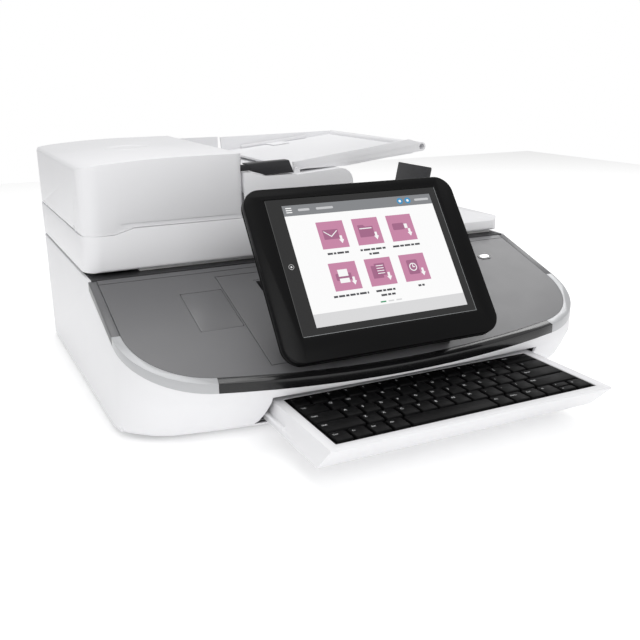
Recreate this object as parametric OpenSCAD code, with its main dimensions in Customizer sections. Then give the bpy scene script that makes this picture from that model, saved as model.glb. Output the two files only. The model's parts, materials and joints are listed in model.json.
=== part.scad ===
// Desktop document scanner with a sheet feeder, a tilting touch screen and a pull-out keyboard tray.
// +X is to the right, +Y is to the back and +Z is up. The origin is on the ground under the middle
// of the machine with its tray pulled out. Inside the modules y is measured from the front edge of
// the body, and seat() moves the finished piece into place.

/* [Body] */
// Width of the body
body_w = 506; // [460:1:560]
// Depth of the body without the tray
body_d = 482; // [450:1:540]
// Height of the body's top edge, where the lid starts
body_h = 133; // [124:1:160]
// Thickness of the outer shells
wall = 3; // [2:0.1:4]
// Height of the rubber feet
foot_h = 6; // [4:0.5:10]
// Radius of the feet
foot_r = 11; // [7:0.5:14]
// Depth of the round bow along the front edge
front_bow = 16; // [8:1:22]
// Radius of the front corners
corner_r = 85; // [60:1:100]
// Radius of the back corners
back_r = 24; // [10:1:40]
// How far the bottom edge stands back from the front edge
undercut = 62; // [40:1:64]

/* [Deck] */
// Height of the deck's front edge
deck_z = 68; // [64:1:76]
// Length of the deck from front to back
deck_d = 190; // [180:1:200]
// Width of the trim round the deck
trim_w = 8; // [5:0.5:12]
// Height of the trim
trim_h = 9; // [7:0.5:10]
// Thickness of the deck panel
deck_t = 3; // [2:0.1:4]
// Width of the pocket cover
pocket_w = 43; // [36:1:46]
// Length of the pocket cover along the deck
pocket_l = 66; // [50:1:70]
// Length of the oval power button
button_l = 12; // [8:0.5:16]
// Width of the oval power button
button_w = 6; // [5:0.5:8]

/* [Screen] */
// Width of the screen housing
screen_w = 228; // [200:1:240]
// Height of the screen housing
screen_h = 171; // [155:1:180]
// Thickness of the screen's front frame
bezel_t = 8; // [8:0.5:12]
// Total thickness of the screen unit
screen_t = 30; // [26:0.5:34]
// Radius of the housing's corners
screen_r = 18; // [8:0.5:22]
// Width of the visible display
display_w = 162.4; // [140:0.1:170]
// Height of the visible display
display_h = 121.8; // [100:0.1:124]
// Angle between the display and the desk
screen_tilt = 53.5; // [45:0.5:60]
// Place of the screen's middle, to the right of the body's middle
screen_x = -12.5; // [-40:0.5:20]
// Radius of the screen's hinge pin
screen_pin_r = 3; // [2:0.1:4]

/* [Keyboard tray] */
// Width of the tray
tray_w = 291; // [285:1:320]
// Place of the tray's middle, to the right of the body's middle
tray_x = 13; // [-20:1:20]
// How far the tray's front edge stands out when it is open
tray_out = 94; // [70:1:96]
// Height of the tray's top edge above the ground
tray_z = 47; // [46:0.5:50]
// Height of the tray's side walls
tray_h = 26; // [24:0.5:28]
// Distance from one key to the next along a row
key_pitch = 17.9; // [16:0.1:18]
// Distance from one row of keys to the next
row_pitch = 19.9; // [17:0.1:20]
// Gap between two keys
key_gap = 1.8; // [1.2:0.1:3]
// Height of a key
key_h = 3; // [2:0.1:4]
// Travel of a key
key_travel = 2; // [1:0.1:2.2]

/* [Flatbed and lid] */
// Length of the flatbed window from side to side
bed_w = 356; // [300:1:356]
// Depth of the flatbed window
bed_d = 216; // [200:1:220]
// Thickness of the glass
glass_t = 3; // [2:0.5:4]
// Thickness of the lid
lid_t = 16; // [14:1:20]
// Gap between the body and the lid
lid_gap = 4; // [3:0.5:5]
// Radius of the lid's hinge pins
hinge_pin_r = 3; // [2:0.1:4]
// Radius of the carriage rods
rod_r = 4; // [3:0.5:5]

/* [Feeder] */
// Height of the feeder's top above the ground
feeder_z = 246.5; // [242:0.5:250]
// How far the feeder cover reaches to the right of the body's middle
cover_end = -84; // [-96:1:-82]
// How far the feeder base reaches to the right of the body's middle
base_end = 46; // [40:1:60]
// How far the input tray reaches to the right of the body's middle
input_end = 146; // [130:1:160]
// Width of the widest sheet that the input tray takes
sheet_w = 216; // [205:1:217]
// Radius of the feed rollers
roller_r = 9; // [7:0.5:10]
// Radius of the rollers' shafts
shaft_r = 3; // [2:0.1:4]
// Height of the output stop
stop_h = 45; // [30:1:55]
// Width of the output stop
stop_w = 80; // [60:1:100]

/* [Hidden] */

// Clearances
slip = 0.3;
running = 0.05;
big = 2000;
// Outline of the body
half_w = body_w / 2;
bow_r = (pow(half_w - corner_r + 14, 2) + pow(front_bow, 2)) / (2 * front_bow);
corner_y = bow_r - sqrt(pow(bow_r - corner_r, 2) - pow(half_w - corner_r, 2));
bow_angle = asin((half_w - corner_r) / (bow_r - corner_r));
arc_steps = 16;
foot_z = foot_h;
plate_t = 3;
// Deck
deck_top = body_h - 1;
deck_a = atan((deck_top - deck_z) / deck_d);
deck_len = deck_d / cos(deck_a);
// Screen
slab_t = bezel_t + 3;
hinge_v = 14;
hinge_n = 20;
edge_y = -3;
edge_z = deck_z + 17.7;
glass_side = 21;
glass_in = 2;
touch_w = screen_w - 2 * glass_side;
touch_h = display_h + 14.4;
touch_v = screen_h - touch_h - 11.6;
display_x = 3.5;
display_v = touch_v + 7.1;
panel_t = bezel_t - glass_in - 0.3;
bulge_w = 150;
bulge_v = 25;
bulge_h = 125;
lug_x = 60;
lug_t = 10;
lug_r = 6;
hinge_y = edge_y + hinge_v * cos(screen_tilt) + hinge_n * sin(screen_tilt);
hinge_z = edge_z + hinge_v * sin(screen_tilt) - hinge_n * cos(screen_tilt);
// Place of the hinge pin, along the deck and out of it
pin_s = hinge_y * cos(deck_a) + (hinge_z - deck_z) * sin(deck_a);
pin_n = (hinge_z - deck_z) * cos(deck_a) - hinge_y * sin(deck_a);
bracket_t = 4;
bracket_r = 5.2;
bay_wall = 2;
bay_w = bulge_w + 10;
bay_s = pin_s - bracket_r - bay_wall - 0.5;
bay_l = bulge_v + bulge_h;
bay_t = 14;
// Tray
tray_low = tray_z - tray_h;
key_field_w = 15 * key_pitch;
key_field_d = 5 * row_pitch;
board_w = key_field_w + 2.6;
board_d = key_field_d + 3.2;
key_z = tray_z - key_h + 0.6;
board_z = key_z - key_travel - 0.1;
board_y = -tray_out + 10;
runner_z = tray_low + 8;
runner_h = 4;
runner_w = 3;
// Flatbed
frame_t = 15;
frame_y = deck_d + 0.5;
bed_x = -195;
bed_y = frame_y + 34;
strip_x = -228;
strip_w = 18;
rod_y1 = frame_y + 26;
rod_y2 = frame_y + 254;
rod_z = body_h - 34;
rod_end = half_w - 15;
carriage_w = 20;
carriage_h = 22;
carriage_x = strip_x + strip_w / 2;
belt_y = frame_y + 50;
belt_z = rod_z - 6;
pulley_r = 6;
belt_t = 1.2;
belt_h = 6;
// Lid
lid_z = body_h + lid_gap;
lid_top = lid_z + lid_t;
lid_y = deck_d + 8;
lid_d = body_d - lid_y - 2;
hinge_ly = body_d - 8;
hinge_lz = lid_z + 3;
knuckle_r = 6;
knuckle_l = 30;
hinge_lx = 170;
// Feeder
seam_z = 179;
seam_left_z = 173.5;
cover_y = lid_y + 1;
cover_d = body_d - cover_y - 8;
cover_pin_x = -half_w + 4;
cover_pin_z = seam_left_z + 4;
cover_wall = 2.5;
tray_y = cover_y + 13;
tray_d = sheet_w + 16;
pivot_x = -18;
pivot_z = 224;
input_a = 5.6;
stop_x = 226;
stop_lean = 12;
stop_t = 4;
stop_y = lid_y + 130;
stop_z = lid_top + 4;
pick_x = -112;
pick_z = 231;
feed_x = -160;
feed_z = 229;

function arc(cx, cy, r, a0, a1, n) = [for (i = [0:n]) [cx + r * cos(a0 + (a1 - a0) * i / n),
    cy + r * sin(a0 + (a1 - a0) * i / n)]];
function flip(points) = [for (i = [len(points) - 1:-1:0]) [-points[i][0], points[i][1]]];

// Outline of the body, drawn anticlockwise from the back right corner. "in" moves it inwards,
// "y0" moves its front edge back and "rc" is the front corner's radius.
function half_outline(in, y0, rc) =
    let (w = half_w - in, yf = y0 + in, r = max(rc - in, 4), rb = max(back_r - in, 2),
        cy = yf + bow_r - sqrt(pow(bow_r - r, 2) - pow(w - r, 2)),
        a = asin((w - r) / (bow_r - r)))
    concat(arc(0, yf + bow_r, bow_r, -90, -90 + a * 7 / 8, 7), arc(w - r, cy, r, -90 + a, 0, arc_steps),
        arc(w - rb, body_d - in - rb, rb, 0, 90, 8));
function outline(in = 0, y0 = 0, rc = corner_r) =
    let (h = half_outline(in, y0, rc)) concat(flip(h), [for (i = [1:len(h) - 1]) h[i]]);
function ring3(in, y0, rc, z) = [for (p = outline(in, y0, rc)) [p[0], p[1], z]];

// Solid through a stack of rings that all have the same number of points
module loft(rings) {
    n = len(rings[0]);
    m = len(rings);
    points = [for (r = rings) for (p = r) p];
    sides = [for (j = [0:m - 2]) for (i = [0:n - 1])
        [j * n + i, (j + 1) * n + i, (j + 1) * n + (i + 1) % n, j * n + (i + 1) % n]];
    polyhedron(points, concat(sides, [[for (i = [0:n - 1]) i]],
        [[for (i = [n - 1:-1:0]) (m - 1) * n + i]]), convexity = 6);
}
module seat() {
    translate([0, (tray_out - body_d) / 2, 0]) children();
}
// Outline in the Y-Z plane, drawn out along X over the width w
module side_cut(points, w = big, x = 0) {
    translate([x - w / 2, 0, 0]) rotate([90, 0, 90]) linear_extrude(w) polygon(points);
}
// Outline in the X-Z plane, drawn out along Y from y over the depth d
module front_cut(points, y, d) {
    translate([0, y + d, 0]) rotate([90, 0, 0]) linear_extrude(d) polygon(points);
}
module rod_x(x, y, z, r, l) {
    translate([x, y, z]) rotate([0, 90, 0]) cylinder(h = l, r = r, center = true, $fn = 48);
}
module rod_y(x, y, z, r, l) {
    translate([x, y, z]) rotate([-90, 0, 0]) cylinder(h = l, r = r, $fn = 48);
}
// Rectangle with round corners, from its lower left corner
module round_rect(w, h, r) {
    translate([r, 0]) square([w - 2 * r, h]);
    translate([0, r]) square([w, h - 2 * r]);
    for (x = [r, w - r], y = [r, h - r]) translate([x, y]) circle(r, $fn = 48);
}
module plate(x0, x1, y0, y1, z0, z1) {
    translate([x0, y0, z0]) cube([x1 - x0, y1 - y0, z1 - z0]);
}
// Places children on the deck: x is across, y runs up the slope and z stands out of it
module on_deck(x = 0, s = 0) {
    translate([x, 0, deck_z]) rotate([deck_a, 0, 0]) translate([0, s, 0]) children();
}
// Places children on the screen: y runs up the face and z points out of it
module on_screen() {
    translate([screen_x, edge_y, edge_z]) rotate([screen_tilt, 0, 0]) children();
}

// --- Body ---------------------------------------------------------------------------------------
function profile(in) = [
    for (p = [[undercut, foot_z, 45], [undercut * 0.63, foot_z + 7, 58], [undercut * 0.38, foot_z + 18, 70],
        [undercut * 0.19, foot_z + 31, 80], [undercut * 0.07, foot_z + 42, corner_r],
        [0, foot_z + 50, corner_r], [0, body_h, corner_r]])
        ring3(in, p[0], p[2], p[1])];
module under_deck(drop) {
    side_cut([[-60, -1], [-60, deck_z - drop - 60 * tan(deck_a)],
        [deck_d, deck_top - drop], [deck_d, body_h], [big, body_h], [big, -1]]);
}
slot_x0 = tray_x - tray_w / 2 - runner_w - 0.5;
slot_x1 = tray_x + tray_w / 2 + runner_w + 0.5;
slot_z0 = tray_low - 3.5;
slot_z1 = tray_z + 1.5;
lip_z = deck_z - trim_h;
lip_d = 28;
boss_x = half_w - 28;
boss_y = [undercut + 40, body_d - 40];
screw_r = 1.9;

module lower_shell() {
    color("whitesmoke") seat() {
        difference() {
            intersection() {
                loft(profile(0));
                under_deck(trim_h);
            }
            loft(profile(wall));
            translate([0, 0, foot_z - 1]) linear_extrude(1.1) polygon(outline(wall, undercut, 45));
            translate([0, 0, body_h - 0.5]) linear_extrude(2) polygon(outline(wall));
            // Opening of the back for the rear panel
            plate(-panel_in, panel_in, body_d - wall - 8, body_d + 1, foot_z + plate_t, body_h - frame_t);
            // Mouth of the keyboard tray
            front_cut([[slot_x0 - 6, slot_z0], [slot_x1 + 6, slot_z0], [slot_x1, slot_z1],
                [slot_x1, deck_z], [slot_x0, deck_z], [slot_x0, slot_z1]], -1, undercut + wall + 8);
        }
        // Sloping lip over the tray
        intersection() {
            loft(profile(0));
            side_cut([[-1, lip_z - 1.5], [lip_d, slot_z1], [lip_d, slot_z1 + wall],
                [lip_d * 0.55, slope(lip_d * 0.55) - trim_h - slip], [-1, slope(-1) - trim_h - slip]],
                slot_x1 - slot_x0 + 4, tray_x);
        }
        for (x = [-boss_x, boss_x], y = boss_y) boss(x, y);
    }
}
module boss(x, y) {
    side_x = sign(x) * (half_w - wall / 2);
    difference() {
        union() {
            translate([x, y, foot_z + plate_t]) cylinder(h = 22, r = 5, $fn = 40);
            plate(min(x, side_x), max(x, side_x), y - 1.5, y + 1.5, foot_z + plate_t, foot_z + plate_t + 20);
        }
        translate([x, y, foot_z]) cylinder(h = 18, r = screw_r + running, $fn = 32);
    }
}
module base_plate() {
    color("gray") seat() difference() {
        union() {
            translate([0, 0, foot_z]) linear_extrude(plate_t) polygon(outline(wall + slip, undercut, 45));
            // Posts that carry the flatbed frame
            for (x = [-post_x, post_x], y = post_y)
                plate(x - 4, x + 4, y - 4, y + 4, foot_z + plate_t - 0.5, body_h - frame_t);
        }
        for (x = [-boss_x, boss_x], y = boss_y)
            translate([x, y, foot_z - 1]) cylinder(h = plate_t + 2, r = screw_r + 0.3, $fn = 32);
    }
}
post_x = half_w - 12;
post_y = [frame_y + 8, body_d - 22];
module rubber_feet() {
    color("dimgray") seat() for (x = [-1, 1] * (half_w - 60), y = [undercut + 34, body_d - 40])
        translate([x, y, 0]) rotate_extrude($fn = 60)
            polygon([[0, 0], [foot_r - 1, 0], [foot_r, 1], [foot_r, foot_z], [0, foot_z]]);
}
module case_screws() {
    color("silver") seat() for (x = [-boss_x, boss_x], y = boss_y) translate([x, y, foot_z])
        rotate_extrude($fn = 40) polygon([[0, -2], [3, -2], [3.8, -1], [3.8, 0], [screw_r, 0],
            [screw_r, 13], [screw_r - 1, 14], [0, 14]]);
}

// --- Deck ---------------------------------------------------------------------------------------
function slope(y) = deck_z + y * tan(deck_a);
ledge_w = 3;
panel_v = deck_t / cos(deck_a);
module slab(y0, y1, top, bottom) {
    side_cut([[y0, slope(y0) - bottom], [y1, slope(y1) - bottom], [y1, slope(y1) - top],
        [y0, slope(y0) - top]]);
}
// Trim round the deck's edge, with the ledge that carries the deck panel
module trim_ring() {
    intersection() {
        difference() {
            linear_extrude(body_h + 5) polygon(outline());
            translate([0, 0, -1]) linear_extrude(body_h + 7) polygon(outline(trim_w));
        }
        slab(-5, deck_d, 0, trim_h);
    }
    intersection() {
        difference() {
            linear_extrude(body_h + 5) polygon(outline(trim_w - 0.5));
            translate([0, 0, -1]) linear_extrude(body_h + 7) polygon(outline(trim_w + ledge_w));
        }
        slab(-5, deck_d, panel_v, trim_h);
    }
}
module wedge(reach) {
    x = reach * sin(bow_angle);
    y = bow_r - reach * cos(bow_angle);
    linear_extrude(body_h + 20) polygon([[0, bow_r], [-x, y], [x, y]]);
}
module front_strip() {
    color([0.12, 0.12, 0.13]) seat() intersection() {
        trim_ring();
        wedge(bow_r * 1.1);
    }
}
module deck_corner(side) {
    color([0.75, 0.75, 0.76]) seat() difference() {
        intersection() {
            trim_ring();
            plate(side > 0 ? 0 : -big, side > 0 ? big : 0, -5, corner_y, 0, body_h + 5);
        }
        translate([0, 0, -1]) wedge(bow_r * 1.2);
    }
}
module deck_corner_left() {
    deck_corner(-1);
}
module deck_corner_right() {
    deck_corner(1);
}
module side_strip(side) {
    color([0.42, 0.42, 0.43]) seat() intersection() {
        trim_ring();
        plate(side > 0 ? 0 : -big, side > 0 ? big : 0, corner_y, deck_d, 0, body_h + 5);
    }
}
module side_strip_left() {
    side_strip(-1);
}
module side_strip_right() {
    side_strip(1);
}
pocket_x = -152;
pocket_s = 93;
pocket_rest = 3;
nest_w = screen_w + 4;
nest_s = 30;
nest_l = 152;
groove_w = 0.9;
groove_t = 0.7;
back_band = 8;
pocket_t = 1.8;
button_x = 193;
button_s = 157;
module stadium(l, w) {
    square([l - w, w], center = true);
    for (x = [-1, 1] * (l - w) / 2) translate([x, 0]) circle(d = w, $fn = 48);
}
module deck_panel() {
    color([0.4, 0.4, 0.41]) seat() difference() {
        intersection() {
            linear_extrude(body_h + 5) polygon(outline(trim_w + slip));
            slab(0, deck_d, 0, panel_v);
        }
        on_deck(screen_x - bay_w / 2 - slip, bay_s - slip) translate([0, 0, -20])
            cube([bay_w + 2 * slip, bay_l + 2 * slip, 40]);
        on_deck(pocket_x - pocket_w / 2, pocket_s) translate([0, 0, -pocket_t])
            cube([pocket_w, pocket_l, 20]);
        on_deck(pocket_x - pocket_w / 2 + pocket_rest, pocket_s + pocket_rest) translate([0, 0, -20])
            cube([pocket_w - 2 * pocket_rest, pocket_l - 2 * pocket_rest, 40]);
        on_deck(button_x, button_s) translate([0, 0, -20]) linear_extrude(40)
            stadium(button_l + 3.2, button_w + 3.2);
        // Groove round the place where the folded screen lies, and one along the back edge
        on_deck(screen_x, nest_s) translate([0, 0, -groove_t]) linear_extrude(20) difference() {
            translate([-nest_w / 2 - groove_w, -groove_w])
                square([nest_w + 2 * groove_w, nest_l + 2 * groove_w]);
            translate([-nest_w / 2, 0]) square([nest_w, nest_l]);
        }
        on_deck(0, deck_len - back_band) translate([-half_w, 0, -groove_t]) cube([body_w, groove_w, 20]);
    }
}
module pocket_cover() {
    color([0.42, 0.42, 0.43]) seat() on_deck(pocket_x - pocket_w / 2 + slip, pocket_s + slip)
        translate([0, 0, -pocket_t]) linear_extrude(pocket_t)
            round_rect(pocket_w - 2 * slip, pocket_l - 2 * slip, 2);
}
module screen_bay() {
    color([0.4, 0.4, 0.41]) seat() on_deck(screen_x, bay_s) difference() {
        union() {
            translate([-bay_w / 2, 0, -bay_t]) cube([bay_w, bay_l, bay_t - 0.3]);
            translate([-bay_w / 2 - 4, 0.5, -deck_t - 2.05]) cube([bay_w + 8, bay_l + 3.5, 2]);
        }
        translate([-bay_w / 2 + bay_wall, bay_wall, -bay_t + 2.5])
            cube([bay_w - 2 * bay_wall, bay_l - 2 * bay_wall, bay_t]);
    }
}
module power_button() {
    color("silver") seat() on_deck(button_x, button_s) {
        translate([0, 0, -5.5]) linear_extrude(6.3) stadium(button_l, button_w);
        translate([0, 0, -6.5]) linear_extrude(1.2) stadium(button_l + 1.6, button_w + 1.6);
    }
}
module button_ring() {
    color([0.15, 0.15, 0.16]) seat() on_deck(button_x, button_s) difference() {
        union() {
            translate([0, 0, -5]) linear_extrude(5.2) stadium(button_l + 3, button_w + 3);
            linear_extrude(0.6) stadium(button_l + 5, button_w + 5);
        }
        translate([0, 0, -10]) linear_extrude(20) stadium(button_l + 0.6, button_w + 0.6);
    }
}

// --- Back and inside ----------------------------------------------------------------------------
inlet_x = -150;
inlet_z = 42;
ports_x = 120;
ports_z = 40;
inlet_w = 27.4;
inlet_h = 19.8;
ports_w = 44;
ports_h = 16;
panel_in = half_w - 30;
module rear_panel() {
    color([0.8, 0.8, 0.8]) seat() difference() {
        union() {
            plate(-panel_in - 5, panel_in + 5, body_d - wall - 2.5, body_d - wall, foot_z + plate_t + 0.2,
                body_h - frame_t - 0.2);
            plate(-panel_in + slip, panel_in - slip, body_d - wall - 0.5, body_d, foot_z + plate_t + slip,
                body_h - frame_t - slip);
        }
        plate(inlet_x - inlet_w / 2 - 0.1, inlet_x + inlet_w / 2 + 0.1, body_d - 30, body_d + 5,
            inlet_z - inlet_h / 2 - 0.1, inlet_z + inlet_h / 2 + 0.1);
        plate(ports_x - ports_w / 2 - 0.1, ports_x + ports_w / 2 + 0.1, body_d - 30, body_d + 5,
            ports_z - ports_h / 2 - 0.1, ports_z + ports_h / 2 + 0.1);
        for (i = [-9:9]) plate(i * 7 - 1.5, i * 7 + 1.5, body_d - 30, body_d + 5, 60, 100);
    }
}
module power_inlet() {
    color([0.1, 0.1, 0.1]) seat() {
        difference() {
            plate(inlet_x - inlet_w / 2, inlet_x + inlet_w / 2, body_d - 20, body_d - 0.5,
                inlet_z - inlet_h / 2, inlet_z + inlet_h / 2);
            plate(inlet_x - inlet_w / 2 + 2, inlet_x + inlet_w / 2 - 2, body_d - 17, body_d + 1,
                inlet_z - inlet_h / 2 + 2, inlet_z + inlet_h / 2 - 2);
        }
        for (p = [[-7, -2], [0, -6], [7, -2]])
            plate(inlet_x + p[0] - 1, inlet_x + p[0] + 1, body_d - 18, body_d - 5, inlet_z + p[1] - 2,
                inlet_z + p[1] + 2);
    }
}
module port_block() {
    color("silver") seat() difference() {
        plate(ports_x - ports_w / 2, ports_x + ports_w / 2, body_d - 18, body_d - 0.5,
            ports_z - ports_h / 2, ports_z + ports_h / 2);
        plate(ports_x - 18, ports_x - 4, body_d - 14, body_d + 1, ports_z - 6, ports_z + 5);
        plate(ports_x + 4, ports_x + 18, body_d - 14, body_d + 1, ports_z - 4, ports_z + 3);
    }
}
board_y0 = body_d - 220;
module main_board() {
    color("darkgreen") seat() {
        plate(-20, 180, board_y0, board_y0 + 170, 22, 23.6);
        for (x = [-14, 174], y = [board_y0 + 6, board_y0 + 164])
            translate([x, y, foot_z + plate_t]) cylinder(h = 13.2, r = 3, $fn = 32);
        plate(20, 56, board_y0 + 50, board_y0 + 86, 23.5, 28);
        plate(90, 110, board_y0 + 60, board_y0 + 80, 23.5, 26);
        plate(130, 160, board_y0 + 20, board_y0 + 30, 23.5, 32);
        plate(20, 100, board_y0 + 120, board_y0 + 126, 23.5, 31);
    }
}
supply_x = -half_w + 22;
module power_supply() {
    color("silver") seat() difference() {
        plate(supply_x, supply_x + 108, body_d - 240, body_d - 50, foot_z + plate_t, foot_z + plate_t + 46);
        for (i = [0:9]) plate(supply_x + 18, supply_x + 90, body_d - 225 + i * 17, body_d - 218 + i * 17,
            foot_z + plate_t + 44, 100);
    }
}
rail_y0 = 46;
rail_y1 = 156;
module tray_rail(side) {
    inner = tray_w / 2 + 0.4;
    color("silver") seat() difference() {
        side_cut([[rail_y0, runner_z - 4], [76, runner_z - 4], [76, foot_z + plate_t],
            [rail_y1, foot_z + plate_t], [rail_y1, runner_z + runner_h + 4],
            [rail_y0, runner_z + runner_h + 4]],
            runner_w + 5, tray_x + side * (inner + (runner_w + 5) / 2));
        side_cut([[rail_y0 - 1, runner_z - slip], [rail_y1 + 1, runner_z - slip],
            [rail_y1 + 1, runner_z + runner_h + slip], [rail_y0 - 1, runner_z + runner_h + slip]],
            2 * runner_w + 0.6, tray_x + side * inner);
    }
}
module tray_rail_left() {
    tray_rail(-1);
}
module tray_rail_right() {
    tray_rail(1);
}
module lug_x(x, y, z, r, bore, t, to_z) {
    difference() {
        union() {
            rod_x(x, y, z, r, t);
            plate(x - t / 2, x + t / 2, y - r, y + r, min(z, to_z), max(z, to_z));
        }
        rod_x(x, y, z, bore, t + 2);
    }
}
module flatbed_frame() {
    color([0.3, 0.3, 0.31]) seat() {
        difference() {
            translate([0, 0, body_h - frame_t]) linear_extrude(frame_t) intersection() {
                polygon(outline(wall + slip));
                translate([-big / 2, frame_y]) square([big, big]);
            }
            window(bed_x, bed_w, 4);
            window(strip_x, strip_w, 3);
        }
        for (x = [-rod_end, rod_end], y = [rod_y1, rod_y2])
            lug_x(x, y, rod_z, rod_r + 4, rod_r + running, 6, body_h - frame_t + 0.5);
        for (x = [-hinge_lx, hinge_lx], s = [-1, 1])
            lug_x(x + s * (knuckle_l / 2 + 2.4), hinge_ly, hinge_lz, 5, hinge_pin_r + running, 4,
                body_h - 0.5);
        // Post for the belt's free end
        translate([idler_x, belt_y, belt_z])
            cylinder(h = body_h - frame_t + 0.5 - belt_z, r = pulley_r - 0.2, $fn = 48);
    }
}
module window(x, w, rest) {
    plate(x, x + w, bed_y, bed_y + bed_d, 0, big);
    plate(x - rest, x + w + rest, bed_y - rest, bed_y + bed_d + rest, body_h - glass_t, big);
}
module glass_pane(x, w, rest) {
    plate(x - rest + 0.2, x + w + rest - 0.2, bed_y - rest + 0.2, bed_y + bed_d + rest - 0.2,
        body_h - glass_t, body_h - 0.1);
}
module platen_glass() {
    color([0.7, 0.8, 0.8, 0.5]) seat() glass_pane(bed_x, bed_w, 4);
}
module feeder_glass() {
    color([0.7, 0.8, 0.8, 0.5]) seat() glass_pane(strip_x, strip_w, 3);
}
module carriage_rods() {
    color("silver") seat() for (y = [rod_y1, rod_y2]) rod_x(0, y, rod_z, rod_r, 2 * rod_end + 8);
}
idler_x = -half_w + 15;
drive_x = half_w - 21;
module scan_carriage() {
    color([0.15, 0.15, 0.16]) seat() difference() {
        plate(carriage_x - carriage_w / 2, carriage_x + carriage_w / 2, rod_y1 - 11, rod_y2 + 11,
            rod_z - 9, rod_z - 9 + carriage_h);
        for (y = [rod_y1, rod_y2]) rod_x(carriage_x, y, rod_z, rod_r + running, carriage_w + 2);
        // Channel for the belt
        plate(carriage_x - carriage_w, carriage_x + carriage_w, belt_y - pulley_r - belt_t - 2,
            belt_y + pulley_r + belt_t + 2, belt_z - 4, belt_z + belt_h + 2);
        // Trough for the sensor bar
        plate(carriage_x - 7, carriage_x + 7, bed_y - 2, bed_y + bed_d + 2, rod_z + 6, big);
    }
}
module sensor_bar() {
    color("silver") seat() plate(carriage_x - 6.8, carriage_x + 6.8, bed_y - 1.8, bed_y + bed_d + 1.8,
        rod_z + 6, rod_z + 17);
}
module drive_belt() {
    color([0.1, 0.1, 0.1]) seat() translate([0, 0, belt_z]) linear_extrude(belt_h) difference() {
        belt_outline(pulley_r + belt_t);
        belt_outline(pulley_r);
    }
}
module belt_outline(r) {
    translate([idler_x, belt_y - r]) square([drive_x - idler_x, 2 * r]);
    for (x = [idler_x, drive_x]) translate([x, belt_y]) circle(r, $fn = 48);
}
motor_z = belt_z - 8;
module drive_motor() {
    color([0.3, 0.3, 0.32]) seat() {
        translate([drive_x, belt_y, motor_z - 28]) cylinder(h = 28.2, r = 15, $fn = 60);
        translate([drive_x, belt_y, motor_z]) cylinder(h = 8 + belt_h + 3, r = 2, $fn = 32);
        plate(drive_x - 12, half_w - wall - 1, belt_y - 9, belt_y + 9, motor_z, motor_z + 2);
        plate(half_w - wall - 3, half_w - wall - 1, belt_y - 9, belt_y + 9, motor_z, body_h - frame_t);
    }
}
module belt_pulley() {
    color("silver") seat() translate([drive_x, belt_y, belt_z - 1.5]) difference() {
        union() {
            cylinder(h = belt_h + 3, r = pulley_r - 0.1, $fn = 48);
            cylinder(h = 1, r = pulley_r + 1.5, $fn = 48);
        }
        translate([0, 0, -1]) cylinder(h = belt_h + 6, r = 2 + running, $fn = 32);
    }
}

// --- Keyboard -----------------------------------------------------------------------------------
tray_cut = 25;
tray_back = 50;
board_x = tray_x - board_w / 2;
module keyboard_tray() {
    color("whitesmoke") seat() difference() {
        union() {
            side_cut([[-tray_out, tray_z], [-tray_out, tray_z - 1.5], [-tray_out + tray_cut, tray_low],
                [tray_back, tray_low], [tray_back, tray_z]], tray_w, tray_x);
            for (s = [-1, 1]) side_cut([[-8, runner_z], [96, runner_z], [96, runner_z + runner_h],
                [-8, runner_z + runner_h]], runner_w + wall, tray_x + s * (tray_w - wall + runner_w) / 2);
        }
        plate(board_x - slip, board_x + board_w + slip, board_y - slip, board_y + board_d + slip,
            board_z - 3, big);
        side_cut([[-tray_out + tray_cut + wall, tray_low - 1], [-tray_out + 2 * wall + 6, tray_z - 12],
            [-tray_out + 2 * wall + 6, board_z - 5.5], [tray_back - wall, board_z - 5.5],
            [tray_back - wall, tray_low - 1]],
            tray_w - 2 * wall, tray_x);
    }
}
module keyboard_base() {
    color([0.1, 0.1, 0.11]) seat() difference() {
        plate(board_x, board_x + board_w, board_y, board_y + board_d, board_z - 3, tray_z - 0.6);
        plate(board_x + 1.2, board_x + board_w - 1.2, board_y + 1.4, board_y + board_d - 1.4, board_z, big);
    }
}
row_numbers = [for (i = [0:14]) i < 13 ? 1 : i == 13 ? 2 : 0];
row_upper = [for (i = [0:13]) i == 0 || i == 13 ? 1.5 : 1];
row_home = [for (i = [0:12]) i == 0 ? 1.75 : i == 12 ? 2.25 : 1];
row_lower = [for (i = [0:11]) i == 0 ? 2.25 : i == 11 ? 2.75 : 1];
space_at = 4;
space_units = 5;
row_bottom = [for (i = [0:10]) i == space_at ? space_units : 1];
up_down_at = 9;
function sum_to(list, n, i = 0) = i >= n ? 0 : list[i] + sum_to(list, n, i + 1);
module key(row, units, width, low = 0, high = 1) {
    y0 = board_y + (board_d - key_field_d) / 2 + (4 - row) * row_pitch + key_gap / 2;
    d = row_pitch - key_gap;
    plate(tray_x - key_field_w / 2 + units * key_pitch + key_gap / 2,
        tray_x - key_field_w / 2 + (units + width) * key_pitch - key_gap / 2,
        y0 + low * (d + 0.8), y0 + low * (d + 0.8) + (high - low) * (d + 0.8) - 0.8, key_z, key_z + key_h);
}
module key_row(row, widths, skip = []) {
    color([0.13, 0.13, 0.14]) seat() for (i = [0:len(widths) - 1])
        if (widths[i] > 0 && len(search(i, skip)) == 0) key(row, sum_to(widths, i), widths[i]);
}
module key_row_numbers() {
    key_row(0, row_numbers);
}
module key_row_upper() {
    key_row(1, row_upper);
}
module key_row_home() {
    key_row(2, row_home);
}
module key_row_lower() {
    key_row(3, row_lower);
}
module key_row_bottom() {
    key_row(4, row_bottom, [space_at, up_down_at]);
    color([0.13, 0.13, 0.14]) seat() for (half = [0, 0.5])
        key(4, sum_to(row_bottom, up_down_at), 1, half, half + 0.5);
}
module space_bar() {
    color([0.13, 0.13, 0.14]) seat() key(4, sum_to(row_bottom, space_at), space_units);
}

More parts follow.
